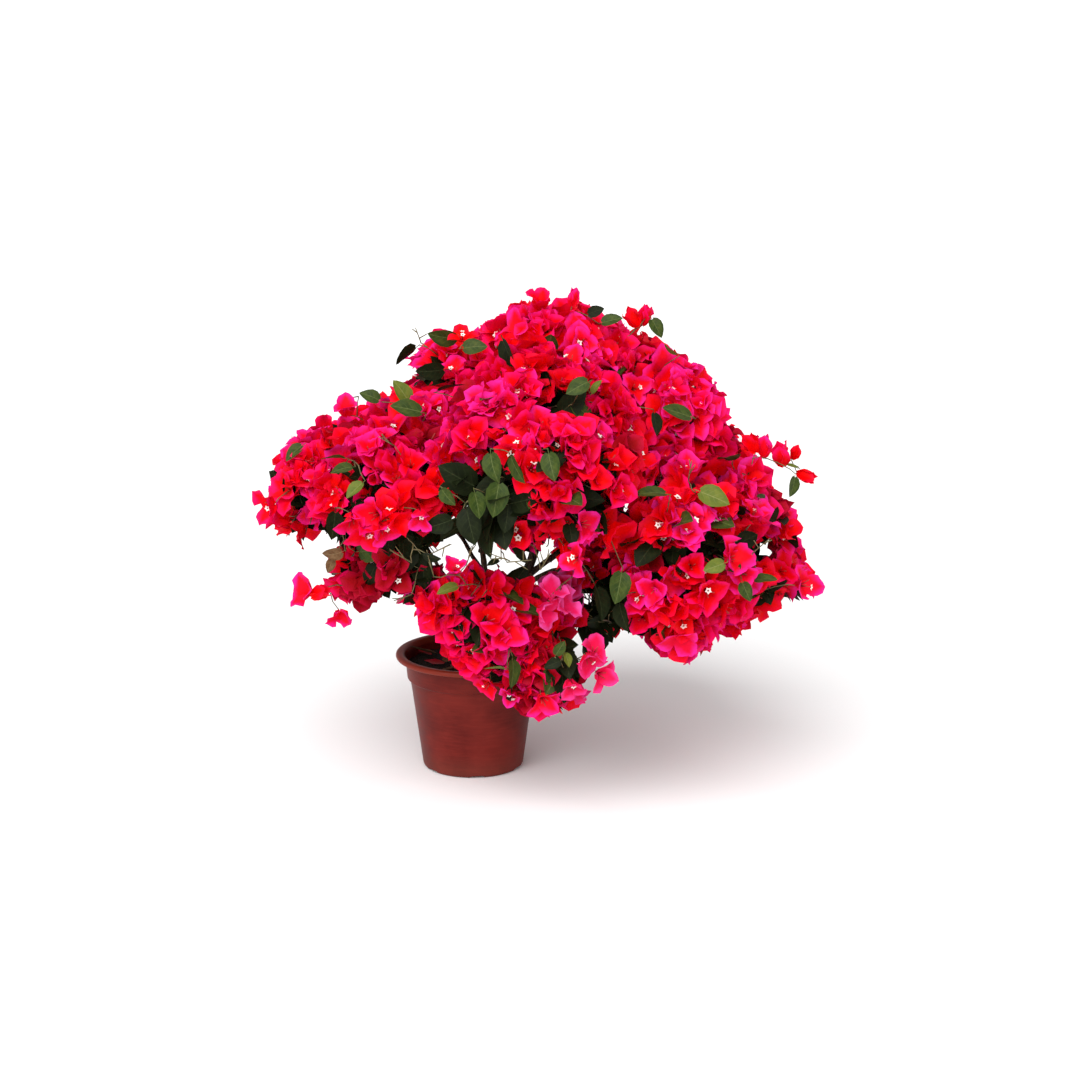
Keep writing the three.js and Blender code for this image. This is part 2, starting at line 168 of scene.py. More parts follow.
def arc(start: Array, bend: Array, end: Array, count: int) -> Array:
    """(..., count, 3) points evenly along a curve from start to end that is drawn to bend."""
    t, (a, b, c) = np.linspace(0, 1, count)[:, None], np.stack([start, bend, end])[..., None, :]
    return (1 - t) ** 2 * a + 2 * (1 - t) * t * b + t * t * c


def seen_at(points: Array) -> Array:
    """Where points lie in the photograph's view, in millimetres at the aim, right and up.

    Args:
        points: (..., 3) places.

    Returns:
        (..., 2) places in the view.
    """
    offset = points - EYE
    scale = VIEW_DISTANCE / (offset @ AHEAD)
    return np.stack([offset[..., 0] * scale + AIM[0], offset @ ABOVE * scale], axis=-1)


@dataclass(frozen=True)
class Bezier:
    """A cubic curve with four control points, (4, 3)."""

    controls: Array

    def point(self, share: Number) -> Array:
        """The (..., 3) points at shares of the curve: the controls in their cubic weights."""
        t, (a, b, c, d) = np.asarray(share, float)[..., None], self.controls
        return (1 - t) ** 3 * a + 3 * (1 - t) ** 2 * t * b + 3 * (1 - t) * t * t * c + t**3 * d

    def tangent(self, share: Number) -> Array:
        """The (..., 3) directions of the curve at shares of it."""
        t, (a, b, c, d) = np.asarray(share, float)[..., None], self.controls
        return unit((1 - t) ** 2 * (b - a) + 2 * (1 - t) * t * (c - b) + t * t * (d - c))

    def length(self) -> float:
        """The curve's length, along 32 chords."""
        path = self.point(np.linspace(0, 1, 33))
        return float(np.linalg.norm(np.diff(path, axis=0), axis=1).sum())


# Surfaces as arrays


@dataclass
class Surface:
    """Points, polygons and each point's place on the piece's own map.

    Attributes:
        points: (P, 3) in millimetres.
        polygons: Arrays of point numbers, one array for each number of corners.
        places: (P, 2) map coordinates.
    """

    points: Array
    polygons: list[Array]
    places: Array

    @staticmethod
    def joined(surfaces: list["Surface"]) -> "Surface":
        """All the surfaces as one.

        Args:
            surfaces: The surfaces.

        Returns:
            One surface with all their points and polygons.
        """
        starts = np.cumsum([0] + [len(s.points) for s in surfaces[:-1]])
        polygons = [p + start for s, start in zip(surfaces, starts) for p in s.polygons]
        return Surface(
            np.concatenate([s.points for s in surfaces]),
            polygons,
            np.concatenate([s.places for s in surfaces]),
        )

    def copies(self, turns: Array, sizes: Array, spots: Array) -> "Surface":
        """Copies of the surface, each point sized, turned and then moved.

        Args:
            turns: (N, 3, 3) matrices.
            sizes: (N,) scales.
            spots: (N, 3) places of the surface's own origin.

        Returns:
            All the copies as one surface.
        """
        count, size = len(spots), len(self.points)
        points = np.einsum("nij,pj->npi", turns * sizes[:, None, None], self.points)
        points += spots[:, None, :]
        starts = (np.arange(count) * size)[:, None, None]
        polygons = [(p[None] + starts).reshape(-1, p.shape[1]) for p in self.polygons]
        return Surface(points.reshape(-1, 3), polygons, np.tile(self.places, (count, 1)))

    def triangles(self) -> int:
        """How many triangles the polygons make."""
        return sum(len(p) * (p.shape[1] - 2) for p in self.polygons)


def grid_quads(rows: int, columns: int, wrapped: bool = False) -> Array:
    """Quads between grid points numbered row by row, the last column met by the first if wrapped.

    Args:
        rows: Rows of the grid.
        columns: Points in a row.
        wrapped: Whether the last column meets the first.

    Returns:
        (Q, 4) point numbers.
    """
    numbers = np.arange(rows * columns).reshape(rows, columns)
    if wrapped:
        numbers = np.concatenate([numbers, numbers[:, :1]], axis=1)
    corners = [numbers[:-1, :-1], numbers[:-1, 1:], numbers[1:, 1:], numbers[1:, :-1]]
    return np.stack(corners, axis=-1).reshape(-1, 4)


def swept(paths: Array, radii: Array, sides: int) -> Surface:
    """Round skins along many paths at once, closed at both ends.

    Each point is the path's point plus the radius times (cos a x side + sin a x across),
    where side and across are square to the path.

    Args:
        paths: (N, S, 3) centre lines.
        radii: (N, S) or (N, S, sides) distances from the centre line.
        sides: Points round each ring.

    Returns:
        The skins as one surface.
    """
    count, steps = paths.shape[:2]
    along = unit(np.gradient(paths, axis=1))
    chord = unit(paths[:, -1] - paths[:, 0])
    helper = np.eye(3)[np.abs(chord).argmin(axis=1)]
    aside = unit(np.cross(helper, chord))[:, None, :]
    side = unit(aside - (aside * along).sum(-1, keepdims=True) * along)
    across = np.cross(along, side)
    angle = TURN * np.arange(sides) / sides
    ring = np.cos(angle)[:, None] * side[:, :, None] + np.sin(angle)[:, None] * across[:, :, None]
    if radii.ndim == 2:
        radii = radii[:, :, None]
    points = paths[:, :, None] + radii[..., None] * ring
    starts = (np.arange(count) * steps * sides)[:, None, None]
    quads = (grid_quads(steps, sides, True)[None] + starts).reshape(-1, 4)
    loop = np.arange(sides)
    caps = np.stack([loop[::-1], loop + (steps - 1) * sides])
    caps = (caps[None] + starts).reshape(-1, sides)
    around, share = np.meshgrid(angle / TURN, np.linspace(0, 1, steps))
    places = np.tile(np.stack([around, share], axis=-1).reshape(-1, 2), (count, 1))
    return Surface(points.reshape(-1, 3), [quads, caps], places)


def turned(profile: Array, columns: int) -> Surface:
    """A surface of revolution about Z from (radius, height) points, listed anticlockwise.

    Args:
        profile: (P, 2) points.
        columns: Points round the axis.

    Returns:
        The surface, open at its ends.
    """
    angle = TURN * np.arange(columns) / columns
    radius, height = profile[:, :1], profile[:, 1:]
    rows = [radius * np.cos(angle), radius * np.sin(angle), height + 0 * angle]
    around, share = np.meshgrid(angle / TURN, np.linspace(0, 1, len(profile)))
    return Surface(
        np.stack(rows, axis=-1).reshape(-1, 3),
        [grid_quads(len(profile), columns, True)],
        np.stack([around, share], axis=-1).reshape(-1, 2),
    )


def make_piece(
    name: str, surface: Surface, material: Material, stands_for: list[str], welded: bool = False
) -> None:
    """Puts a surface into a mesh and has it ride on the bush's one body.

    Args:
        name: The piece's name.
        surface: Its points and polygons.
        material: Its finish.
        stands_for: The solids that it replaces.
        welded: Whether points that meet become one, which closes seams and poles.
    """
    corners = np.concatenate([p.ravel() for p in surface.polygons])
    counts = np.concatenate([np.full(len(p), p.shape[1]) for p in surface.polygons])
    mesh = bpy.data.meshes.new(name)
    mesh.vertices.add(len(surface.points))
    mesh.vertices.foreach_set("co", (surface.points * METRE).astype(np.float32).ravel())
    mesh.loops.add(len(corners))
    mesh.loops.foreach_set("vertex_index", corners.astype(np.int32))
    mesh.polygons.add(len(counts))
    mesh.polygons.foreach_set("loop_start", (np.cumsum(counts) - counts).astype(np.int32))
    mesh.polygons.foreach_set("use_smooth", np.ones(len(counts), bool))
    layer = mesh.uv_layers.new(name=OWN_MAP)
    layer.data.foreach_set("uv", surface.places[corners].astype(np.float32).ravel())
    mesh.update(calc_edges=True)
    mesh.validate()
    if welded:
        shape = bmesh.new()
        shape.from_mesh(mesh)
        bmesh.ops.remove_doubles(shape, verts=shape.verts, dist=WELD_GAP)
        shape.to_mesh(mesh)
        shape.free()
    mesh.materials.append(material)
    piece = bpy.data.objects.new(name, mesh)
    bpy.context.scene.collection.objects.link(piece)
    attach(piece, "root")
    if stands_for:
        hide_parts(*stands_for)
    LOG.info("%s: %d triangles", name, surface.triangles())


# Finishes


class Level:
    """A number socket that arithmetic works on: an expression adds its Math nodes."""

    def __init__(self, tree: "Tree", socket: Socket) -> None:
        """Wraps a socket of a tree."""
        self.tree = tree
        self.socket = socket

    def math(self, operation: str, *values: "Level | float") -> "Level":
        """The result of a Math node on the given values."""
        return self.tree.level("ShaderNodeMath", dict(enumerate(values)), operation=operation)

    def __add__(self, other: "Level | float") -> "Level":
        """The sum."""
        return self.math("ADD", self, other)

    def __sub__(self, other: "Level | float") -> "Level":
        """The difference."""
        return self.math("SUBTRACT", self, other)

    def __rsub__(self, other: "Level | float") -> "Level":
        """The difference the other way round."""
        return self.math("SUBTRACT", other, self)

    def __mul__(self, other: "Level | float") -> "Level":
        """The product."""
        return self.math("MULTIPLY", self, other)

    def __abs__(self) -> "Level":
        """The size without its sign."""
        return self.math("ABSOLUTE", self)

    def __pow__(self, power: float) -> "Level":
        """The power."""
        return self.math("POWER", self, power)

    def sine(self) -> "Level":
        """The sine of an angle in radians."""
        return self.math("SINE", self)

    def step(self, low: float, high: float) -> "Level":
        """A smooth step from 0 at low to 1 at high."""
        inputs = {"Value": self, "From Min": low, "From Max": high}
        return self.tree.level("ShaderNodeMapRange", inputs, interpolation_type="SMOOTHSTEP")


class Tree:
    """The node tree of one material."""

    def __init__(self, name: str) -> None:
        """Starts an empty material.

        Args:
            name: The material's name.
        """
        self.material = bpy.data.materials.new(name)
        self.material.use_nodes = True
        self.material.node_tree.nodes.clear()

    def node(self, kind: str, inputs: dict | None = None, **settings: str) -> bpy.types.Node:
        """Adds a node.

        Args:
            kind: The node's type.
            inputs: Values or links by socket name or number.
            settings: Its own settings, set first.

        Returns:
            The node.
        """
        node = self.material.node_tree.nodes.new(kind)
        for key, value in settings.items():
            setattr(node, key, value)
        for key, value in (inputs or {}).items():
            socket = node.inputs[key]
            value = value.socket if isinstance(value, Level) else value
            if isinstance(value, Socket):
                self.material.node_tree.links.new(value, socket)
            elif isinstance(value, tuple) and socket.type == "RGBA":
                socket.default_value = (*value, 1.0)
            else:
                socket.default_value = value
        return node

    def level(self, kind: str, inputs: dict, output: int = 0, **settings: str) -> Level:
        """Adds a node and gives one of its outputs as a number."""
        return Level(self, self.node(kind, inputs, **settings).outputs[output])

    def mix(self, share: Level, first: Paint, second: Paint) -> Socket:
        """The mix of two colours, each a colour or a socket."""
        inputs = {0: share, 6: first, 7: second}
        return self.node("ShaderNodeMix", inputs, data_type="RGBA").outputs[2]

    def own_map(self) -> Socket:
        """The point's place on the piece's own map."""
        return self.node("ShaderNodeTexCoord").outputs["UV"]

    def object_place(self) -> Socket:
        """The point's own coordinates in the piece."""
        return self.node("ShaderNodeTexCoord").outputs["Object"]

    def coordinate(self, place: Socket, axis: int) -> Level:
        """One coordinate of a place."""
        return self.level("ShaderNodeSeparateXYZ", {0: place}, axis)

    def blade_place(self) -> tuple[Level, Level]:
        """Where a point of a blade lies: its share from base to tip and from midrib to edge."""
        place = self.own_map()
        return self.coordinate(place, 1), abs(self.coordinate(place, 0) * 2.0 - 1.0)

    def drawn_out(self, place: Socket, rise: float) -> Socket:
        """A place whose height counts rise times, so a pattern on it is drawn out or flattened."""
        inputs = {"Vector": place, "Scale": (1.0, 1.0, rise)}
        return self.node("ShaderNodeMapping", inputs).outputs[0]

    def noise(self, vector: Socket, scale: float, detail: float, rough: float = 0.55) -> Level:
        """Cloudy noise in 0..1 at a scale."""
        inputs = {"Vector": vector, "Scale": scale, "Detail": detail, "Roughness": rough}
        return self.level("ShaderNodeTexNoise", inputs)

    def bump(self, height: Level, strength: float, distance: float) -> Socket:
        """The normal of a surface raised by height times distance, in metres."""
        inputs = {"Height": height, "Strength": strength, "Distance": distance}
        return self.node("ShaderNodeBump", inputs).outputs[0]

    def surface(self, shader: bpy.types.Node) -> Material:
        """Ends the tree in a shader."""
        self.node("ShaderNodeOutputMaterial", {"Surface": shader.outputs[0]})
        return self.material

    def face(
        self, colour: Paint, roughness: Level | float, gloss: float, normal: Socket | None
    ) -> bpy.types.Node:
        """The shader of a surface's own colour and gloss, with a bumped normal if there is one."""
        inputs = {"Base Color": colour, "Roughness": roughness, "Specular IOR Level": gloss}
        return self.node("ShaderNodeBsdfPrincipled", inputs | ({"Normal": normal} if normal else {}))

    def solid(
        self, colour: Paint, roughness: Level | float, gloss: float = 0.5, normal: Socket | None = None
    ) -> Material:
        """Ends the tree in an opaque surface."""
        return self.surface(self.face(colour, roughness, gloss, normal))

    def thin(
        self, colour: Socket, passed: Colour, through: float, roughness: float, gloss: float, normal: Socket
    ) -> Material:
        """Ends the tree in a thin sheet that lets some light through.

        Args:
            colour: The colour that it returns.
            passed: The colour of the light that it lets through.
            through: The share of the light that it lets through.
            roughness: The roughness of its gloss.
            gloss: The strength of its gloss.
            normal: Its bumped normal.

        Returns:
            The material.
        """
        face = self.face(colour, roughness, gloss, normal)
        behind = self.node("ShaderNodeBsdfTranslucent", {"Color": passed, "Normal": normal})
        both = {0: through, 1: face.outputs[0], 2: behind.outputs[0]}
        return self.surface(self.node("ShaderNodeMixShader", both))


def side_veins(along: Level, aside: Level, waves: float, slant: float, power: float) -> Level:
    """Slanting veins: (0.5 + 0.5 x the sine of waves x along - slant x aside) to the power."""
    return ((along * waves - aside * slant).sine() * 0.5 + 0.5) ** power


@dataclass(frozen=True)
class PaperFinish:
    """Papery bracts, redder round the tubes and pinker to the margin, partly their own colour and partly
    painted shade and sheen, with fine veins.
    """

    heart: Colour
    margin: Colour
    through: float = 0.22
    roughness: float = 0.5
    gloss: float = 0.05
    edge: Span = (0.5, 1.05)
    cloud_scale: float = 2.2
    veins: Triple = (46.0, 15.0, 6.0)
    net_scale: float = 26.0
    relief: float = 0.0007

    def material(self, name: str) -> Material:
        """The material, patterned on the bract's own map: U across it, V from base to tip.

        Args:
            name: Its name.

        Returns:
            The material.
        """
        tree = Tree(name)
        along, aside = tree.blade_place()
        cloud = tree.noise(tree.own_map(), self.cloud_scale, 2.0)
        edge = (along * 0.8 + aside * 0.4 + (cloud - 0.5) * 0.7).step(*self.edge)
        rib = 1.0 - aside.step(0.0, 0.05)
        veins = side_veins(along, aside, *self.veins)
        net = tree.noise(tree.own_map(), self.net_scale, 2.0, 0.7)
        normal = tree.bump(rib * 0.7 + veins * 0.3 + net * 0.6, 0.35, self.relief)
        # The red heart is partly painted shade deep in the cup, and the pink margin partly painted sheen;
        # both are partly the bracts' own colour.
        colour = tree.mix(edge, self.heart, self.margin)
        passed = between(self.heart, self.margin)
        return tree.thin(colour, passed, self.through, self.roughness, self.gloss, normal)


@dataclass(frozen=True)
class LeafFinish:
    """Leaf blades with a pale midrib, arching side veins and a waxy face."""

    blade: Colour
    patch: Colour
    rib: Colour
    roughness: float
    through: float
    gloss: float = 0.12
    cloud_scale: float = 3.0
    midrib: Span = (0.01, 0.07)
    veins: Triple = (34.0, 11.0, 10.0)
    relief: float = 0.0008

    def material(self, name: str) -> Material:
        """The material, patterned on the leaf's own map: U across it, V from base to tip.

        Args:
            name: Its name.

        Returns:
            The material.
        """
        tree = Tree(name)
        along, aside = tree.blade_place()
        cloud = tree.noise(tree.own_map(), self.cloud_scale, 3.0)
        midrib = 1.0 - aside.step(*self.midrib)
        veins = side_veins(along, aside, *self.veins)
        lines = midrib * 0.75 + veins * (1.0 - aside) * 0.3
        ground = tree.mix(cloud.step(0.3, 0.7), self.blade, self.patch)
        colour = tree.mix(lines, ground, self.rib)
        normal = tree.bump(1.0 - lines + cloud * 0.4, 0.4, self.relief)
        passed = between(self.blade, self.patch)
        return tree.thin(colour, passed, self.through, self.roughness, self.gloss, normal)


@dataclass(frozen=True)
class BarkFinish:
    """Grey-brown bark: furrows along the stem, pale weathered ridges and dark cracks."""

    dark: Colour = (0.022, 0.012, 0.008)
    light: Colour = (0.17, 0.105, 0.068)
    bloom: Colour = (0.26, 0.215, 0.17)
    rise: float = 0.3
    furrow_scale: float = 420.0
    grain_scale: float = 1500.0
    weather_scale: float = 45.0
    roughness: float = 0.85
    gloss: float = 0.25
    relief: float = 0.0012

    def material(self, name: str) -> Material:
        """The material, on object coordinates drawn out upwards.

        Args:
            name: Its name.

        Returns:
            The material.
        """
        tree = Tree(name)
        place = tree.object_place()
        upright = tree.drawn_out(place, self.rise)
        furrows = tree.noise(upright, self.furrow_scale, 5.0, 0.65)
        grain = tree.noise(upright, self.grain_scale, 3.0)
        weather = tree.noise(place, self.weather_scale, 3.0)
        ridge = furrows.step(0.36, 0.66)
        colour = tree.mix(ridge, self.dark, self.light)
        colour = tree.mix((weather.step(0.5, 0.75) * ridge) * 0.7, colour, self.bloom)
        normal = tree.bump(furrows + grain * 0.3, 0.8, self.relief)
        return tree.solid(colour, self.roughness, self.gloss, normal)


@dataclass(frozen=True)
class TwigFinish:
    """Young twigs: green-brown skin with small pale pores."""

    skin: Colour
    pore: Colour
    patch_scale: float = 160.0
    pore_scale: float = 900.0
    roughness: float = 0.6
    relief: float = 0.0004

    def material(self, name: str) -> Material:
        """The material, on object coordinates.

        Args:
            name: Its name.

        Returns:
            The material.
        """
        tree = Tree(name)
        patches = tree.noise(tree.object_place(), self.patch_scale, 3.0)
        pores = tree.noise(tree.object_place(), self.pore_scale, 1.0).step(0.6, 0.72)
        colour = tree.mix(patches.step(0.35, 0.7) * 0.5 + pores * 0.4, self.skin, self.pore)
        normal = tree.bump(patches + pores * 0.5, 0.5, self.relief)
        return tree.solid(colour, self.roughness, normal=normal)


@dataclass(frozen=True)
class PlasticFinish:
    """Satin red-brown moulded plastic, faded a little, dusty low down, finely scuffed, with a painted
    highlight on its lip.
    """

    deep: Colour = (0.09, 0.005, 0.003)
    worn: Colour = (0.17, 0.014, 0.009)
    # rim: a painted highlight, the lighter colour given to the rolled lip
    rim: Colour = (0.22, 0.028, 0.014)
    dust: Colour = (0.17, 0.045, 0.03)
    lip_highlight_heights: Span = (0.1835, 0.187)
    dust_height: float = 0.05
    cloud_scale: float = 14.0
    rise: float = 9.0
    streak_scale: float = 30.0
    scratch_scale: float = 210.0
    speck_scale: float = 700.0
    gloss: float = 0.14
    relief: float = 0.0006

    def material(self, name: str) -> Material:
        """The material, on object coordinates in metres.

        Args:
            name: Its name.

        Returns:
            The material.
        """
        tree = Tree(name)
        place = tree.object_place()
        height = tree.coordinate(place, 2)
        level = tree.drawn_out(place, self.rise)
        cloud = tree.noise(place, self.cloud_scale, 4.0)
        streaks = tree.noise(level, self.streak_scale, 4.0, 0.6)
        scratch = tree.noise(level, self.scratch_scale, 2.0).step(0.66, 0.74)
        specks = tree.noise(place, self.speck_scale, 2.0).step(0.68, 0.8)
        fade = cloud.step(0.32, 0.7) * 0.7 + streaks.step(0.42, 0.68) * 0.3
        colour = tree.mix(fade, self.deep, self.worn)
        # Painted highlight: the rolled lip is mixed towards the lighter rim colour.
        colour = tree.mix(height.step(*self.lip_highlight_heights) * 0.75, colour, self.rim)
        soiled = (1.0 - height.step(0.0, self.dust_height)) * 0.35 + scratch * 0.12 + specks * 0.15
        colour = tree.mix(soiled, colour, self.dust)
        normal = tree.bump(streaks * 0.6 + specks * 0.4 + cloud, 0.25, self.relief)
        return tree.solid(colour, fade * 0.12 + soiled * 0.3 + 0.4, self.gloss, normal)


@dataclass(frozen=True)
class EarthFinish:
    """Moist dark compost with brown fibres."""

    wet: Colour = (0.008, 0.005, 0.004)
    fibre: Colour = (0.06, 0.034, 0.02)
    lump_scale: float = 180.0
    fibre_scale: float = 900.0
    roughness: float = 0.9
    gloss: float = 0.2
    relief: float = 0.002

    def material(self, name: str) -> Material:
        """The material, on object coordinates.

        Args:
            name: Its name.

        Returns:
            The material.
        """
        tree = Tree(name)
        lumps = tree.noise(tree.object_place(), self.lump_scale, 6.0, 0.7)
        fibres = tree.noise(tree.object_place(), self.fibre_scale, 3.0).step(0.55, 0.7)
        colour = tree.mix(lumps.step(0.45, 0.75) * 0.6 + fibres * 0.4, self.wet, self.fibre)
        normal = tree.bump(lumps + fibres * 0.4, 1.0, self.relief)
        return tree.solid(colour, self.roughness, self.gloss, normal)


@dataclass(frozen=True)
class PetalFinish:
    """The true flowers: a pale limb with a dark throat, on a tinted tube."""

    throat: Colour
    limb: Colour
    border: Span = (0.22, 0.5)
    fold_scale: float = 14.0
    through: float = 0.2
    roughness: float = 0.55
    gloss: float = 0.2
    relief: float = 0.0004

    def material(self, name: str) -> Material:
        """The material, on the flower's own map: V from the throat to the rim.

        Args:
            name: Its name.

        Returns:
            The material.
        """
        tree = Tree(name)
        along = tree.coordinate(tree.own_map(), 1)
        colour = tree.mix(along.step(*self.border), self.throat, self.limb)
        normal = tree.bump(tree.noise(tree.own_map(), self.fold_scale, 2.0), 0.3, self.relief)
        return tree.thin(colour, self.limb, self.through, self.roughness, self.gloss, normal)


class Tone(Enum):
    """The colours of a spray's bracts."""

    SCARLET = PaperFinish((0.84, 0.001, 0.002), (0.88, 0.004, 0.04))
    CRIMSON = PaperFinish((0.79, 0.001, 0.003), (0.91, 0.006, 0.14))
    PINK = PaperFinish((0.86, 0.003, 0.012), (0.94, 0.016, 0.28))
    MAGENTA = PaperFinish((0.82, 0.003, 0.034), (0.92, 0.022, 0.34))
    ROSE = PaperFinish((0.84, 0.008, 0.075), (0.92, 0.05, 0.29))
    ORCHID = PaperFinish((0.82, 0.010, 0.11), (0.92, 0.10, 0.44))
    DUSKY = PaperFinish((0.34, 0.002, 0.006), (0.46, 0.004, 0.03))


class LeafKind(Enum):
    """The leaves of one age and light."""

    MATURE = LeafFinish((0.024, 0.045, 0.009), (0.056, 0.082, 0.014), (0.12, 0.15, 0.045), 0.45, 0.12, 0.1)
    SHADED = LeafFinish((0.006, 0.009, 0.003), (0.012, 0.017, 0.005), (0.03, 0.038, 0.015), 0.5, 0.06, 0.07)
    YOUNG = LeafFinish((0.09, 0.135, 0.018), (0.15, 0.18, 0.026), (0.24, 0.26, 0.08), 0.48, 0.2)
    DRY = LeafFinish((0.10, 0.045, 0.018), (0.17, 0.095, 0.045), (0.24, 0.16, 0.08), 0.75, 0.1)


# The pot and its compost


@dataclass
class Pot:
    """The moulded nursery pot: rolled rim, collar, tapering body and drain notches."""

    columns: int = 192
    notches: int = 6
    notch_width: float = 24.0
    notch_height: float = 3.7
    notch_start: float = 66.0
    notch_turn: float = 0.6
    cheek: Span = (-1.6, 0.2)
    bead: float = 0.9
    bead_height: float = 142.0
    bead_width: float = 1.1
    wall_radius: float = 95.0
    wall_heights: Span = (120.0, 148.4)

    def profile(self) -> Array:
        """The (radius, height) points from the middle of the underside round to the floor.

        Returns:
            (P, 2) points, anticlockwise.
        """
        under = [(0, 1.3), (58, 1.3), (63, 0.9), (65.5, 0.05), (66.5, 0), (77, 0), (79.4, 0.35)]
        foot = [(81.4, 1.4), (82.8, 3.2), (83.6, 5.4), (84.1, 8)]
        body = [(84.1 + 19.3 * s, 8 + 140.5 * s) for s in np.linspace(0.02, 1, 36)]
        collar = [(103.8, 149.8), (104.8, 151), (107.2, 151.9), (108.5, 152.9), (108.9, 154.6)]
        collar += [(108.9 + 2.4 * s, 154.6 + 27.4 * s) for s in np.linspace(0.1, 1, 6)]
        lip = [(112, 183.9), (113.6, 184.9), (116.2, 185.2), (121.6, 185.4), (124.6, 185.9)]
        lip += [(126.5, 187.2), (127.4, 189), (127.5, 190.8), (126.9, 192.6), (125.6, 194)]
        lip += [(123.8, 194.8), (121.8, 195), (119, 194.9), (116.4, 194.5), (114.4, 193.5)]
        lip += [(113, 191.8), (112.3, 189.6), (111.8, 186.4)]
        inside = [(111.4 - 3.6 * s, 185 - 26.0 * s) for s in np.linspace(0, 1, 5)]
        inside += [(106.6, 156.4), (103.2, 154), (102, 151.6), (96, 110), (82, 10)]
        inside += [(79, 5), (70, 3.9), (0, 3.2)]
        return np.array(under + foot + body + collar + lip + inside, float)

    def build(self) -> Surface:
        """Turns the profile, presses a bead round the body and opens the drain notches.

        In a notch the underside and the foot of the wall are raised to the notch's roof,
        whose height falls off smoothly over its two cheeks.

        Returns:
            The closed shell.
        """
        surface = turned(self.profile(), self.columns)
        x, y, z = surface.points.T
        radius, angle = np.hypot(x, y), np.arctan2(y, x)
        pitch = TURN / self.notches
        off = np.abs((angle / pitch - self.notch_turn + 0.5) % 1 - 0.5) * pitch
        half = self.notch_width / 2
        cheek = ease(half + self.cheek[0], half + self.cheek[1], off * radius)
        roof = self.notch_height * (1 - cheek)
        outer = (radius >= self.notch_start) & (z < self.notch_height)
        surface.points[:, 2] = np.where(outer, np.maximum(z, roof), z)
        low, high = self.wall_heights
        wall = (radius > self.wall_radius) & (z > low) & (z < high)
        swell = self.bead * np.exp(-(((z - self.bead_height) / self.bead_width) ** 2)) * wall
        surface.points[:, :2] *= (1 + swell / np.maximum(radius, 1))[:, None]
        return surface

    def dress(self) -> None:
        """Makes the pot's piece."""
        finish = PlasticFinish().material("pot plastic")
        make_piece("pot_shell", self.build(), finish, ["pot"], welded=True)


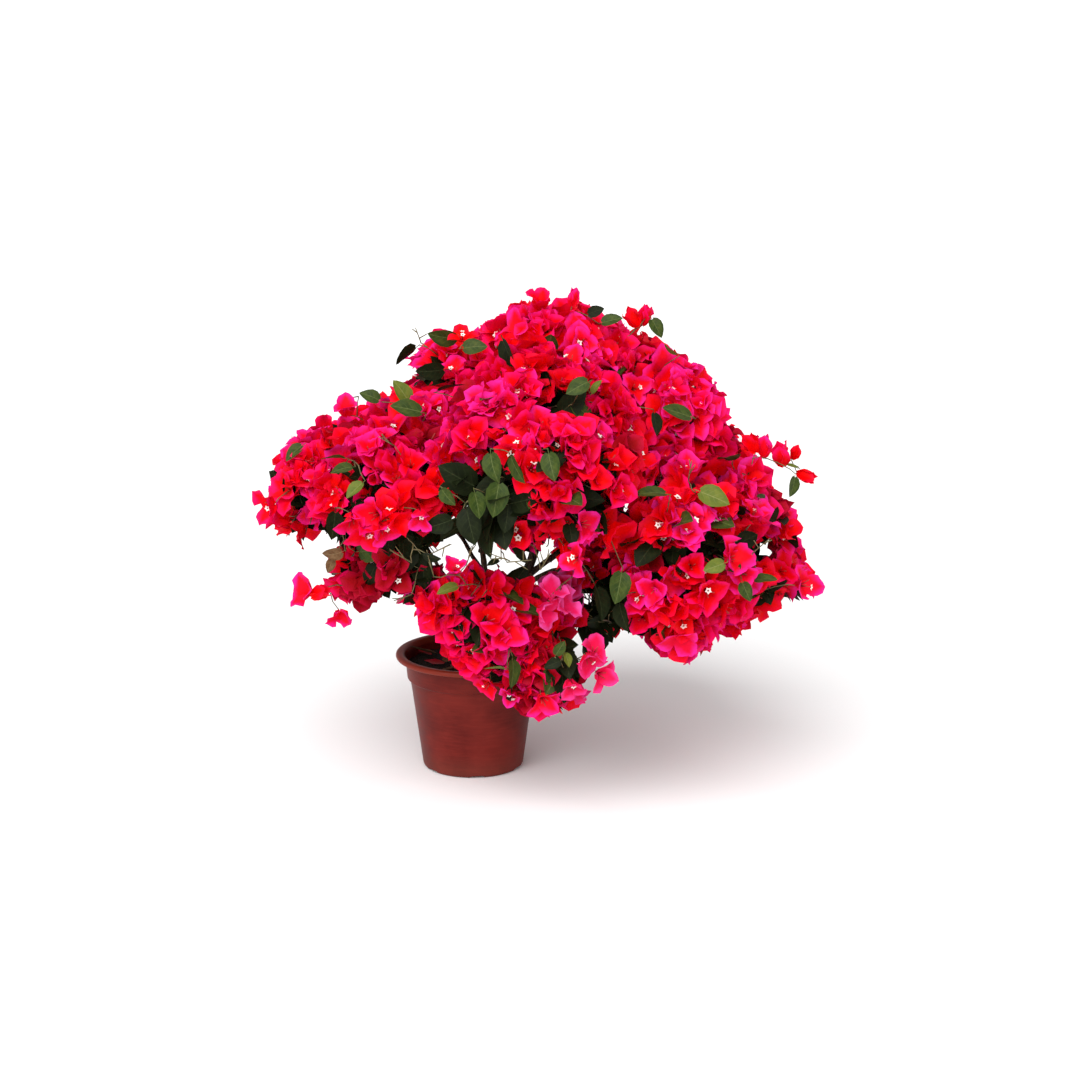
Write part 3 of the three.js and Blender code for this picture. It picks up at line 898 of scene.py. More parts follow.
@dataclass
class Compost:
    """The compost under the rim, with crumbs, bark chips, dry leaves and fallen bracts."""

    rng: Rng
    level: float = 178.2
    radius: float = 107.4
    depth: float = 16.0
    foot_inset: float = 2.2
    side_inset: float = 1.2
    side_depth: float = 10.0
    flat: float = 80.0
    sink: float = 4.4
    rings: int = 34
    columns: int = 120
    crumbs: int = 620
    crumb_reach: float = 0.96
    crumb_lift: float = 0.3
    crumb_size: Span = (1.2, 3.4)
    crumb_shape: Triple = (1.0, 0.7, 0.42)
    fallen: int = 13
    fallen_reach: float = 88.0
    fallen_lift: float = 2.5
    fallen_tilt: float = 0.13
    fallen_size: Span = (0.55, 0.45)
    fallen_droop: float = -0.2

    def height(self, x: Array, y: Array) -> Array:
        """The lumpy top: crossed waves, sunk a little towards the wall.

        Args:
            x: Places from left to right.
            y: Places from front to back.

        Returns:
            The heights.
        """
        waves = np.sin(x * 0.071 + 1.3) * np.cos(y * 0.083) + 0.6 * np.sin(x * 0.19 - y * 0.16)
        fine = np.sin(x * 0.51 + 2 * np.sin(y * 0.37)) * np.sin(y * 0.47 + 1.7 * np.sin(x * 0.29))
        edge = ease(self.flat, self.radius, np.hypot(x, y))
        return self.level + 0.9 * waves + 0.8 * fine - self.sink * edge

    def bed(self) -> Surface:
        """The closed bed: its top, its side and its underside.

        Returns:
            The bed.
        """
        radii = self.radius * np.sqrt(np.linspace(0, 1, self.rings))
        base, foot = self.level - self.depth, self.radius - self.foot_inset
        side = [self.radius - self.side_inset, self.level - self.side_depth]
        lower = np.array([[0, base], [foot, base], side])
        upper = np.stack([radii[::-1], np.full(self.rings, self.level)], axis=-1)
        surface = turned(np.concatenate([lower, upper]), self.columns)
        top = slice(len(lower) * self.columns, None)
        x, y = surface.points[top, 0], surface.points[top, 1]
        surface.points[top, 2] = self.height(x, y)
        return surface

    def scattered(self, count: int, reach: float, lift: float) -> Array:
        """Places spread evenly over the top.

        Args:
            count: How many.
            reach: How far from the middle they go.
            lift: How far over the top they are.

        Returns:
            (N, 3) places.
        """
        spread = reach * np.sqrt(self.rng.random(count))
        turn = TURN * self.rng.random(count)
        x, y = spread * np.cos(turn), spread * np.sin(turn)
        return np.stack([x, y, self.height(x, y) + lift], axis=-1)

    def lumps(self) -> Surface:
        """Crumbs and chips: eight-sided lumps, flattened and turned at random.

        Returns:
            All the lumps.
        """
        spots = self.scattered(self.crumbs, self.radius * self.crumb_reach, self.crumb_lift)
        points = np.array([[1, 0, 0], [-1, 0, 0], [0, 1, 0], [0, -1, 0], [0, 0, 1], [0, 0, -1]], float)
        faces = [[0, 2, 4], [2, 1, 4], [1, 3, 4], [3, 0, 4], [2, 0, 5], [1, 2, 5], [3, 1, 5], [0, 3, 5]]
        lump = Surface(points * self.crumb_shape, [np.array(faces)], points[:, :2] * 0.5 + 0.5)
        facing = unit(self.rng.normal(size=(self.crumbs, 3)) * [0.5, 0.5, 0.3] + UP)
        sizes = self.crumb_size[0] + self.crumb_size[1] * self.rng.random(self.crumbs) ** 2.5
        return lump.copies(frames_along(facing, TURN * self.rng.random(self.crumbs)), sizes, spots)

    def dress(self) -> None:
        """Makes the compost and what has fallen on it."""
        finish = EarthFinish().material("compost")
        surface = Surface.joined([self.bed(), self.lumps()])
        make_piece("compost", surface, finish, ["soil"], welded=True)
        count = self.fallen
        for name, material, blade in (
            ("fallen_leaves", LeafKind.DRY.value.material("fallen leaves"), Leaf(48, 34)),
            ("fallen_bracts", Tone.DUSKY.value.material("fallen bracts"), Leaf(40, 32)),
        ):
            spots = self.scattered(count, self.fallen_reach, self.fallen_lift)
            facing = unit(self.rng.normal(size=(count, 3)) * self.fallen_tilt + UP)
            frames = frames_along(facing, TURN * self.rng.random(count))
            shape = blade.surface(self.rng, self.fallen_droop)
            blades = shape.copies(frames, drawn(self.rng, self.fallen_size, count), spots)
            make_piece(name, blades, material, [])


# Blades


def blade_sheet(grid: Array, tip: Array, places: Array, flipped: bool) -> Surface:
    """A blade: rows of points from its base, closed by a fan to its tip.

    Args:
        grid: (R, C, 3) points.
        tip: (3,) the tip.
        places: (R, C, 2) map coordinates of the grid.
        flipped: Whether its face is turned over.

    Returns:
        The blade.
    """
    rows, columns = grid.shape[:2]
    last = (rows - 1) * columns + np.arange(columns)
    fan = np.stack([last[:-1], last[1:], np.full(columns - 1, rows * columns)], axis=-1)
    order = slice(None, None, -1 if flipped else 1)
    return Surface(
        np.concatenate([grid.reshape(-1, 3), [tip]]),
        [grid_quads(rows, columns)[:, order], fan[:, order]],
        np.concatenate([places.reshape(-1, 2), [[0.5, 1.0]]]),
    )


@dataclass(frozen=True)
class Leaf:
    """One ovate leaf along +X with a drawn-out tip, its face to +Z, on a short stalk."""

    length: float = 52.0
    width: float = 40.0
    columns: int = 5
    stalk: float = 9.0
    rows: tuple[float, ...] = (0.012, 0.1, 0.28, 0.5, 0.72, 0.9)
    fold: Span = (0.12, 0.22)
    wave: Span = (0.0, 0.1)
    bend: Span = (0.6, 0.8)
    lobe: float = 0.07
    sway: float = 0.12
    shortening: float = 0.12

    def surface(self, rng: Rng, droop: float = 0.5, stalked: bool = False) -> Surface:
        """One leaf of its own shape.

        Its half width is 2.44 x the root of t x (1 - t) to the 0.85, with t from base to
        tip. The blade folds up from its midrib, its margin waves and its tip bends down
        with the square of t.

        Args:
            rng: Draws this leaf's fold and waves.
            droop: How far its tip bends, as a share of its length.
            stalked: Whether it has its stalk.

        Returns:
            The leaf, its base at the origin, or its stalk's foot there.
        """
        t = np.array(self.rows)[:, None]
        s = np.linspace(-1, 1, self.columns)
        fold, wave, phase = drawn(rng, self.fold), drawn(rng, self.wave), LOOSE_TURN * rng.random()
        half = self.width / 2 * 2.44 * t**0.5 * (1 - t) ** 0.85
        bend = droop * drawn(rng, self.bend)
        start = self.stalk if stalked else 0.0
        lobe = self.lobe * self.length * np.abs(s) ** 1.5 * (1 - t) ** 4
        x = start + self.length * t * (1 - self.shortening * bend * t) - lobe
        y = half * s * (1 - 0.4 * fold)
        rise = fold * half * np.abs(s) + wave * half * s**2 * np.sin(9 * t + phase + 1.6 * s)
        z = rise - bend * 0.5 * self.length * t**2
        sway = self.sway * self.length * (rng.random() - 0.5) * t**2
        end = start + self.length * (1 - self.shortening * bend)
        tip = np.array([end, sway[-1, 0], -bend * 0.5 * self.length])
        places = np.stack(np.broadcast_arrays(0.5 + 0.5 * s, t), axis=-1)
        blade = blade_sheet(np.stack([x, y + sway, z], axis=-1), tip, places, True)
        if not stalked:
            return blade
        path = np.array([[[-1.5, 0, 0], [start + 3, 0, -0.3]]], float)
        stem = swept(path, np.array([[0.9, 0.6]]), 3)
        stem.places[:] = [0.5, 0.1]
        return Surface.joined([blade, stem])


@dataclass(frozen=True)
class Blossom:
    """Three bracts round an axis along +Z, each with a slender tube before it."""

    length: float = 43.0
    width: float = 39.0
    columns: int = 5
    rows: tuple[float, ...] = (0.012, 0.1, 0.27, 0.48, 0.68, 0.84, 0.95)
    point: float = 1.08
    cup_depth: Span = (0.12, 0.34)
    wave: Span = (0.15, 0.22)
    sway: float = 0.1
    heel: float = 0.1
    start: float = 1.2
    size: Span = (0.92, 0.16)
    tube_length: float = 21.0
    tube_spread: float = 7.5
    tube_radii: tuple[float, ...] = (1.3, 0.9, 1.25, 0.4)
    limb_radius: float = 6.2
    limb_notch: float = 0.62
    throat: Span = (1.7, 1.6)

    def bract(self, rng: Rng, lean: float, spread: float) -> Surface:
        """One bract that leaves the axis at its base.

        Its midline leans from the axis by an angle that goes from lean to spread. Its half
        width is 2.2 x t to the 0.55 x (1 - t) to the 0.56, and its point is drawn out.
        Its sides rise towards the axis with the square of their distance from the midline,
        and its margin waves.

        Args:
            rng: Draws this bract's cup and waves.
            lean: The angle at the base, in radians.
            spread: The angle at the tip.

        Returns:
            The bract, leaning towards +X, its inner face towards the axis.
        """
        t = np.array((*self.rows, self.point))[:, None]
        s = np.linspace(-1, 1, self.columns)
        cup, wave, phase = drawn(rng, self.cup_depth), drawn(rng, self.wave), LOOSE_TURN * rng.random()
        angle = blend(lean, spread, t**1.1)
        steps = np.diff(t, axis=0, prepend=0) * self.length
        middle = angle - np.diff(angle, axis=0, prepend=lean) / 2
        out, rise = np.cumsum(steps * np.sin(middle), 0), np.cumsum(steps * np.cos(middle), 0)
        blade = np.minimum(t, 1.0)
        half = self.width / 2 * 2.2 * blade**0.55 * (1 - blade) ** 0.56
        ruffle = np.sin(10 * t + phase + 1.7 * s) + 0.5 * np.sin(21 * t + 2 * phase - 2 * s)
        lift = half * s**2 * (cup + wave * ruffle)
        back = self.heel * self.length * np.abs(s) ** 1.5 * (1 - blade) ** 4
        x = self.start + out - lift * np.cos(angle) - back * np.sin(angle)
        z = rise + lift * np.sin(angle) - back * np.cos(angle)
        y = half * s * (1 - 0.3 * cup) + self.sway * self.length * (rng.random() - 0.5) * t**2
        points = np.stack([x, y, z], axis=-1)
        places = np.stack(np.broadcast_arrays(0.5 + 0.5 * s, t), axis=-1)
        return blade_sheet(points[:-1], points[-1, self.columns // 2], places[:-1], False)

    def cup(self, rng: Rng, lean: float, spread: float) -> Surface:
        """Three bracts a third of a turn apart, each leaning a little on its own.

        Args:
            rng: Draws the bracts' own shapes.
            lean: Their angle at the base, in radians.
            spread: Their angle at the tip.

        Returns:
            The three bracts.
        """
        rolls = TURN * np.arange(3) / 3 + 0.25 * rng.normal(size=3)
        leans = lean + 0.14 * rng.normal(size=3)
        spreads = spread + 0.2 * rng.normal(size=3)
        turns = frames_along(np.tile(UP, (3, 1)), rolls)
        sizes = drawn(rng, self.size, 3)
        bracts = [
            self.bract(rng, leans[i], spreads[i]).copies(turns[i : i + 1], sizes[i : i + 1], np.zeros((1, 3)))
            for i in range(3)
        ]
        return Surface.joined(bracts)

    def tubes(self) -> Surface:
        """Three closed tubes that stand before the bracts, swollen at foot and tip.

        Returns:
            The tubes.
        """
        turn = TURN * np.arange(3) / 3
        lean = np.stack([np.cos(turn), np.sin(turn), 0 * turn], axis=-1)
        share = np.array([0.0, 0.5, 0.9, 1.0])[:, None]
        out = 1.0 + (self.tube_spread - 1.0) * share**1.2
        paths = lean[:, None] * out + UP * (self.tube_length * share)
        return swept(paths, np.tile(self.tube_radii, (3, 1)), 3)

    def limb(self) -> Surface:
        """One open flower's five-lobed limb round its throat, facing +Z at the origin.

        Returns:
            The limb.
        """
        count = 10
        near = np.arange(count)
        far = (near + 1) % count
        cos, sin = np.cos(TURN * near / count), np.sin(TURN * near / count)
        radius = np.where(near % 2, self.limb_notch, 1.0) * self.limb_radius
        hole, depth = self.throat
        rim = np.stack([radius * cos, radius * sin, 0.14 * radius], axis=-1)
        ring = np.stack([hole * cos, hole * sin, -0.25 * depth + 0 * cos], axis=-1)
        points = np.concatenate([rim, ring, [[0, 0, -depth]]])
        quads = np.stack([near, far, far + count, near + count], axis=-1)
        throat = np.stack([near + count, far + count, np.full(count, 2 * count)], axis=-1)
        level = np.concatenate([np.ones(count), np.full(count, 0.35), [0.0]])
        return Surface(points, [quads, throat], np.stack([0.5 + 0 * level, level], axis=-1))


# The crown's rule, as in the solids


@dataclass(frozen=True)
class Mass:
    """One mass of foliage and the bough that carries it.

    Attributes:
        name: Its name.
        bearing: Degrees from +X round the crown's axis.
        out: Its distance as a share of its tier's ring.
        rise: Its height over the tier.
        carrier: The limb that its bough leaves.
        at: Where along that limb.
        root: The bough's radius there.
        reach: Its ball's radius, if it isn't the tier's.
    """

    name: str
    bearing: float
    out: float
    rise: float
    carrier: str
    at: float
    root: float
    reach: float = 0.0


@dataclass(frozen=True)
class Tier:
    """Masses on one ring, which is raised over the stems at the front by lift."""

    height: float
    ring: Span
    reach: float
    lift: float
    masses: tuple[Mass, ...]


TIERS = (
    Tier(672, (100, 100), 160, 0, (Mass("peak", 0, 0.26, 0, "trunk", 0.985, 5.2),)),
    Tier(
        595, (165, 165), 162, 0,
        (
            Mass("shoulder_left", 180, 0.86, -5, "trunk", 0.16, 6.4),
            Mass("shoulder_right", 0, 0.95, 16, "trunk", 0.9, 5),
            Mass("shoulder_back", 90, 1, 0, "bough_peak", 0.22, 3.8),
            Mass("shoulder_front", 270, 1, 0, "bough_shoulder_left", 0.5, 3.8),
        ),
    ),
    Tier(
        430, (300, 235), 165, 110,
        (
            Mass("waist_left", 180, 1.03, -12, "trunk", 0.07, 6),
            Mass("waist_right", 0, 1, 36, "trunk", 0.7, 5.4),
            Mass("waist_back", 90, 1, 0, "trunk", 0.8, 4.4),
            Mass("waist_back_right", 45, 1, 20, "bough_waist_right", 0.2, 3.8),
            Mass("waist_back_left", 135, 1, 20, "bough_shoulder_left", 0.3, 4),
            Mass("waist_front_left", 225, 1, 0, "bough_waist_left", 0.34, 4),
            Mass("waist_front", 270, 1, 0, "bough_shoulder_right", 0.16, 3.8),
            Mass("waist_front_right", 315, 1, 0, "trunk", 0.6, 4.4),
        ),
    ),
    Tier(
        325, (285, 200), 135, 0,
        (
            Mass("skirt_right", 0, 1.18, 26, "trunk", 0.42, 5.4),
            Mass("skirt_back_right", 45, 1, 0, "bough_skirt_right", 0.25, 3.6),
            Mass("skirt_front_right", 315, 1, 12, "bough_skirt_right", 0.4, 3.6),
            Mass("skirt_front", 297, 0.72, 0, "trunk", 0.34, 4),
        ),
    ),
    Tier(
        325, (300, 215), 125, 0,
        (
            Mass("spray_left", 194, 1, 0, "bough_waist_left", 0.5, 3.4),
            Mass("spray_front", 250, 1, -5, "trunk", 0.3, 4.2),
            Mass("spray_low", 276, 0.9, -76, "bough_spray_front", 0.4, 3.2, 112),
        ),
    ),
)


@dataclass
class Canopy:
    """The cells of the crown: squashed balls, each cut where a neighbour's is nearer."""

    axis: float = 112.0
    heart: float = 420.0
    squash: float = 0.85
    droop: float = 0.1
    window_bearing: float = -95.0
    window_sharpness: int = 6
    margin: float = 1.0
    softness: float = 32.0
    masses: list[Mass] = field(init=False)
    middles: Array = field(init=False)
    reaches: Array = field(init=False)
    outward: Array = field(init=False)
    shrink: Array = field(init=False)

    def __post_init__(self) -> None:
        """Works out every mass's middle, reach and outward direction."""
        rows = [(tier, mass) for tier in TIERS for mass in tier.masses]
        self.masses = [mass for _, mass in rows]
        bearing, out, rise, own = np.array([(m.bearing, m.out, m.rise, m.reach) for m in self.masses]).T
        level, wide, deep, lift, shared = np.array([(t.height, *t.ring, t.lift, t.reach) for t, _ in rows]).T
        bearing = np.radians(bearing)
        facing = np.maximum(0, np.cos(bearing - math.radians(self.window_bearing)))
        side = wide * out * np.cos(bearing)
        height = level + rise + lift * facing**self.window_sharpness - self.droop * side
        self.middles = np.stack([self.axis + side, deep * out * np.sin(bearing), height], axis=-1)
        self.reaches = np.where(own > 0, own, shared)
        self.outward = unit(self.middles - [self.axis, 0.0, self.heart])
        self.shrink = np.array([1.0, 1.0, 1 / self.squash])

    def offsets(self, points: Array) -> Array:
        """(..., M, 3) offsets from every middle, in the space where each mass is round."""
        return (points[..., None, :] - self.middles) * self.shrink

    def power(self, points: Array) -> Array:
        """(..., M) squared distances from every middle, less its ball's squared reach."""
        return (self.offsets(points) ** 2).sum(-1) - self.reaches**2

    def keeps(self, points: Array, index: int) -> Array:
        """Whether points lie in a mass's ball and on its own side of every neighbour.

        Args:
            points: (..., 3) places.
            index: The mass.

        Returns:
            (...) truths.
        """
        power = self.power(points)
        own = power[..., index]
        apart = np.linalg.norm((self.middles - self.middles[index]) * self.shrink, axis=-1)
        clear = power - own[..., None] >= 2 * self.margin * apart
        clear[..., index] = True
        return (own <= 0) & clear.all(-1)

    def bears(self, points: Array, index: int) -> Array:
        """Whether a mass's twigs reach points: on its own side of its neighbours, in the crown."""
        power = self.power(points)
        return (power[..., index] <= power.min(-1)) & (self.beyond(points) <= 0)

    def beyond(self, points: Array) -> Array:
        """How far points lie outside the whole crown, below 0 inside.

        The distances to the single balls are joined softly, so the grooves between
        neighbours fill up: minus softness times the log of the sum of exp(-distance / softness).
        """
        gaps = np.linalg.norm(self.offsets(points), axis=-1) - self.reaches
        return -self.softness * np.log(np.exp(-gaps / self.softness).sum(-1))


@dataclass(frozen=True)
class Limb:
    """One tapering limb: its line, its radius at both ends and its root's flare."""

    curve: Bezier
    root: float
    tip: float
    flare: float = 0.0
    flare_length: float = 0.1

    def radius(self, share: Array) -> Array:
        """The radius at shares of the limb: a straight taper plus a flare that dies away."""
        return blend(self.root, self.tip, share) + self.flare * np.exp(-share / self.flare_length)


@dataclass
class Skeleton:
    """The trunk, the boughs and each mass's own stem, on the solids' lines."""

    crown: Canopy
    foot: Triple = (26.0, 4.0, 179.3)
    fork: Triple = (104.0, 6.0, 400.0)
    rise: float = 48.0
    fork_pull: Triple = (2.0, -2.0, -100.0)
    trunk: Triple = (12.5, 6.2, 8.0)
    bough_tip: float = 2.6
    stem_tip: float = 1.8
    follow: float = 0.45
    lift: float = 0.25
    bow: float = 0.33
    entry_depth: float = 0.5
    entry_step: float = 0.05
    entry_trials: int = 9
    leader: float = 0.4
    leader_lift: float = 0.3
    limbs: dict[str, Limb] = field(default_factory=dict)
    stems: list[Limb] = field(default_factory=list)

    def grow(self) -> None:
        """Works out the trunk, then each bough after the limb that carries it, then the stems."""
        foot, fork = np.array(self.foot), np.array(self.fork)
        line = Bezier(np.array([foot, foot + self.rise * UP, fork + self.fork_pull, fork]))
        self.limbs["trunk"] = Limb(line, *self.trunk)
        waiting = list(range(len(self.crown.masses)))
        while waiting:
            index = waiting.pop(0)
            mass = self.crown.masses[index]
            if mass.carrier not in self.limbs:
                waiting.append(index)
                continue
            line = self.bough(index, self.limbs[mass.carrier].curve)
            self.limbs[f"bough_{mass.name}"] = Limb(line, mass.root, self.bough_tip)
        self.stems = [self.stem(i) for i in range(len(self.crown.masses))]

    def entry(self, index: int, root: Array) -> Array:
        """Where a bough ends and its mass's own stem begins: inside the mass's cell.

        Args:
            index: The mass.
            root: Where the bough begins.

        Returns:
            The point.
        """
        middle, reach = self.crown.middles[index], self.crown.reaches[index]
        towards = unit(middle - root)
        depths = self.entry_depth - self.entry_step * np.arange(self.entry_trials)
        points = middle - towards * (depths * reach)[:, None]
        fits = self.crown.keeps(points, index)
        return points[fits.argmax() if fits.any() else len(depths) - 1]

    def bough(self, index: int, carrier: Bezier) -> Bezier:
        """A bough's line: it leaves partly along its carrier and arrives facing its mass.

        Args:
            index: The mass.
            carrier: The line of the limb that carries it.

        Returns:
            The line.
        """
        mass, middle = self.crown.masses[index], self.crown.middles[index]
        root = carrier.point(mass.at)
        tip = self.entry(index, root)
        length = np.linalg.norm(tip - root) * self.bow
        straight = unit(tip - root)
        along = carrier.tangent(mass.at)
        leaving = unit(along * self.follow + straight * (1 - self.follow) + UP * self.lift)
        arriving = unit(unit(middle - tip) + straight)
        return Bezier(np.array([root, root + leaving * length, tip - arriving * length, tip]))

    def stem(self, index: int) -> Limb:
        """A mass's stem: on from its bough's tip and out past its middle.

        Args:
            index: The mass.

        Returns:
            The stem.
        """
        bough = self.limbs[f"bough_{self.crown.masses[index].name}"].curve
        along, outward = bough.tangent(1.0), self.crown.outward[index]
        start = bough.point(1.0)
        end = self.crown.middles[index] + outward * self.leader * self.crown.reaches[index]
        bow = np.linalg.norm(end - start) / 3
        arriving = unit(outward + self.leader_lift * UP)
        line = Bezier(np.array([start, start + along * bow, end - arriving * bow, end]))
        return Limb(line, self.bough_tip, self.stem_tip)


@dataclass
class Bark:
    """The skin of the trunk, boughs and stems, with ridges, knots and root lobes."""

    rng: Rng
    trunk_sides: int = 28
    bough_sides: int = 14
    stem_sides: int = 8
    row_step: float = 3.2
    fewest_rows: int = 10
    ridge: float = 0.05
    ridge_waves: tuple[int, ...] = (2, 3, 5, 7)
    ridge_drift: float = 0.02
    knot: float = 0.1
    knot_pitch: float = 34.0
    knot_width: float = 0.12
    collar: float = 0.55
    collar_length: float = 9.0
    lobe: float = 0.22
    lobe_length: float = 0.07
    lobe_turn: float = 0.8
    sunk: float = 5.0
    wander: float = 0.4
    wander_waves: tuple[int, int, int] = (17, 13, 11)

    def skin(self, limb: Limb, sides: int) -> Surface:
        """One limb's skin.

        The radius at an angle is the limb's radius times one plus low waves round the limb
        whose crests drift along it, plus a swelling at each knot, and at a flared root
        three lobes. The centre line wanders by a share of the radius, and not at its ends.

        Args:
            limb: The limb.
            sides: Points round it.

        Returns:
            The skin.
        """
        length = limb.curve.length()
        rows = max(self.fewest_rows, int(length / self.row_step))
        share = np.linspace(0, 1, rows)
        angle = TURN * np.arange(sides) / sides
        radius = limb.radius(share)
        relief = np.zeros((rows, sides))
        for waves in self.ridge_waves:
            phase = LOOSE_TURN * self.rng.random()
            drift = self.rng.normal() * self.ridge_drift * length / waves
            swing = np.sin(waves * angle + phase + drift * share[:, None])
            relief += self.ridge * 2 / waves**0.5 * swing * (0.7 + 0.3 * np.sin(29 * share + phase))[:, None]
        offset = (share * length / self.knot_pitch + self.rng.random()) % 1 - 0.5
        relief += (self.knot * np.exp(-((offset / self.knot_width) ** 2)))[:, None]
        flared = limb.flare > 0
        collar = 0 * share if flared else self.collar * np.exp(-share * length / self.collar_length)
        fade = np.exp(-share / self.lobe_length)[:, None]
        lobes = self.lobe * flared * fade * np.cos(3 * angle + self.lobe_turn)
        path = limb.curve.point(share)
        if flared:
            path[0, 2] -= self.sunk
        hold = np.sin(np.pi * share)[:, None] * self.wander * radius[:, None]
        swings = [np.sin(waves * share + LOOSE_TURN * self.rng.random()) for waves in self.wander_waves]
        radii = radius[:, None] * (1 + relief + collar[:, None] + lobes)
        return swept((path + hold * np.stack(swings, axis=-1))[None], radii[None], sides)

    def dress(self, skeleton: Skeleton) -> None:
        """Makes the one piece that stands for the trunk and all the boughs.

        Args:
            skeleton: The limbs.
        """
        trunk, *boughs = skeleton.limbs.values()
        skins = [self.skin(trunk, self.trunk_sides)]
        skins += [self.skin(limb, self.bough_sides) for limb in boughs]
        skins += [self.skin(limb, self.stem_sides) for limb in skeleton.stems]
        finish = BarkFinish().material("bark")
        make_piece("stems", Surface.joined(skins), finish, list(skeleton.limbs))


# What grows on the stems


def on_picture(pixels: Array) -> Array:
    """The picture's (..., 2) pixels as millimetres right and up in the front view."""
    return (pixels - PICTURE_SIDE / 2) * [MM_PER_PIXEL, -MM_PER_PIXEL] + [AIM[0], 0.0]


@dataclass(frozen=True)
class Outline:
    """The bush's edge in the front view, as corners in the picture's pixels."""

    corners: tuple[Span, ...]

    def depth(self, points: Array) -> Array:
        """How far inside the edge points lie in the front view, below 0 outside.

        That is the distance to the nearest side, and a point is inside where a level line
        from it crosses an odd number of sides.

        Args:
            points: (..., 3) places.

        Returns:
            (...) millimetres.
        """
        seen = seen_at(points)[..., None, :]
        start = on_picture(np.array(self.corners, float))
        side = np.roll(start, -1, axis=0) - start
        off = seen - start
        share = np.clip((off * side).sum(-1) / (side**2).sum(-1), 0, 1)
        gap = np.linalg.norm(off - share[..., None] * side, axis=-1).min(-1)
        level = (start[:, 1] > seen[..., 1]) != (np.roll(start, -1, axis=0)[:, 1] > seen[..., 1])
        slope = side[:, 0] / np.where(side[:, 1] == 0, NEARLY_LEVEL, side[:, 1])
        crossed = level & (off[..., 0] < off[..., 1] * slope)
        return np.where(crossed.sum(-1) % 2 == 1, gap, -gap)


@dataclass(frozen=True)
class Place:
    """An oval part of the front view: its middle and half sizes in the picture's pixels."""

    x: float
    y: float
    wide: float
    tall: float
    deep: Span = (-1000.0, 1000.0)

    def holds(self, points: Array, margin: float = 0.0) -> Array:
        """How far inside points lie: 1 at the middle, 0 a margin past the edge, then below 0.

        Args:
            points: (..., 3) places.
            margin: Millimetres added all round.

        Returns:
            (...) numbers.
        """
        middle = on_picture(np.array([self.x, self.y], float))
        half = np.array([self.wide, self.tall]) * MM_PER_PIXEL + margin
        away = (((seen_at(points) - middle) / half) ** 2).sum(-1)
        inside = (points[..., 1] >= self.deep[0]) & (points[..., 1] <= self.deep[1])
        return np.where(inside, 1 - away, -1.0)


def clear(points: Array, margin: float = 0.0) -> Array:
    """Whether points lie outside every opening by a margin in millimetres."""
    return np.max([place.holds(points, margin) for place in OPENINGS], axis=0) <= 0


# The edge of the foliage, clockwise from the tip of the left side.
EDGE = Outline(
    (
        (256, 508), (266, 482), (282, 455), (304, 430), (330, 412), (360, 402), (392, 396),
        (408, 375), (414, 352), (440, 336), (470, 336), (500, 318), (524, 310), (560, 306),
        (590, 312), (612, 322), (634, 333), (656, 338), (676, 352), (692, 366), (708, 376),
        (722, 388), (724, 412), (736, 436), (752, 458), (772, 478), (784, 505), (804, 534),
        (802, 556), (824, 586), (806, 604), (772, 609), (750, 620), (739, 634), (714, 631),
        (698, 650), (680, 662), (660, 650), (626, 634), (608, 642), (618, 672), (608, 690),
        (584, 695), (560, 708), (536, 713), (496, 702), (476, 690), (462, 664), (438, 642),
        (420, 616), (398, 606), (345, 602), (328, 590), (328, 552), (300, 545), (268, 532),
    )
)
# Parts of the front view: those that stay open, those that are leafy and those with a tone
# of their own, which a share of the twigs there takes. FRONT is the depth that they cover.
FRONT = (-1000.0, 20.0)
OPENINGS = tuple(Place(*row) for row in (
    (455, 557, 22, 19), (506, 562, 26, 11), (546, 567, 14, 9), (589, 598, 5, 6), (576, 632, 5, 9),
    (579, 650, 6, 11), (584, 669, 5, 11), (590, 685, 4, 7), (392, 600, 12, 4), (312, 562, 26, 10),
    (322, 541, 15, 12), (761, 549, 6, 10), (426, 644, 18, 16),
))
LEAFY = tuple(Place(*row, FRONT) for row in (
    (492, 498, 40, 40), (553, 466, 10, 12), (408, 382, 30, 24), (612, 598, 24, 32), (412, 540, 22, 26),
    (512, 672, 14, 13), (562, 655, 14, 20), (484, 526, 16, 12),
))
TONE_PLACES = (
    (Place(505, 625, 58, 52, FRONT), Tone.SCARLET, 0.35),
    (Place(555, 600, 22, 22, FRONT), Tone.ORCHID, 0.8),
    (Place(590, 672, 30, 34, FRONT), Tone.ROSE, 0.8),
    (Place(388, 580, 34, 30, FRONT), Tone.DUSKY, 0.8),
)
TONE_SHARES = {Tone.SCARLET: 0.32, Tone.CRIMSON: 0.33, Tone.PINK: 0.24, Tone.MAGENTA: 0.06, Tone.DUSKY: 0.05}


class Sort(Enum):
    """What a single sprig bears."""

    BLOSSOM = "blossom"
    BUD = "bud"
    MATURE = "mature leaf"
    SHADED = "dark leaf"
    YOUNG = "young leaf"
    DRY = "dry leaf"
    BARE = "bare fork"


@dataclass(frozen=True)
class Single:
    """One blossom, bud or leaf that stands by itself in the front view.

    Attributes:
        x: The picture's pixel of its middle, from the left.
        y: The same from the top.
        sort: What it is.
        turn: Where it points in the view, in degrees anticlockwise from the right.
        size: Its scale.
        tone: A blossom's colour, if it isn't one of the common ones.
    """

    x: float
    y: float
    sort: Sort
    turn: float = 90.0
    size: float = 1.0
    tone: Tone | None = None

    def is_leaf(self) -> bool:
        """Whether it is a leaf."""
        return self.sort in LEAF_SORTS


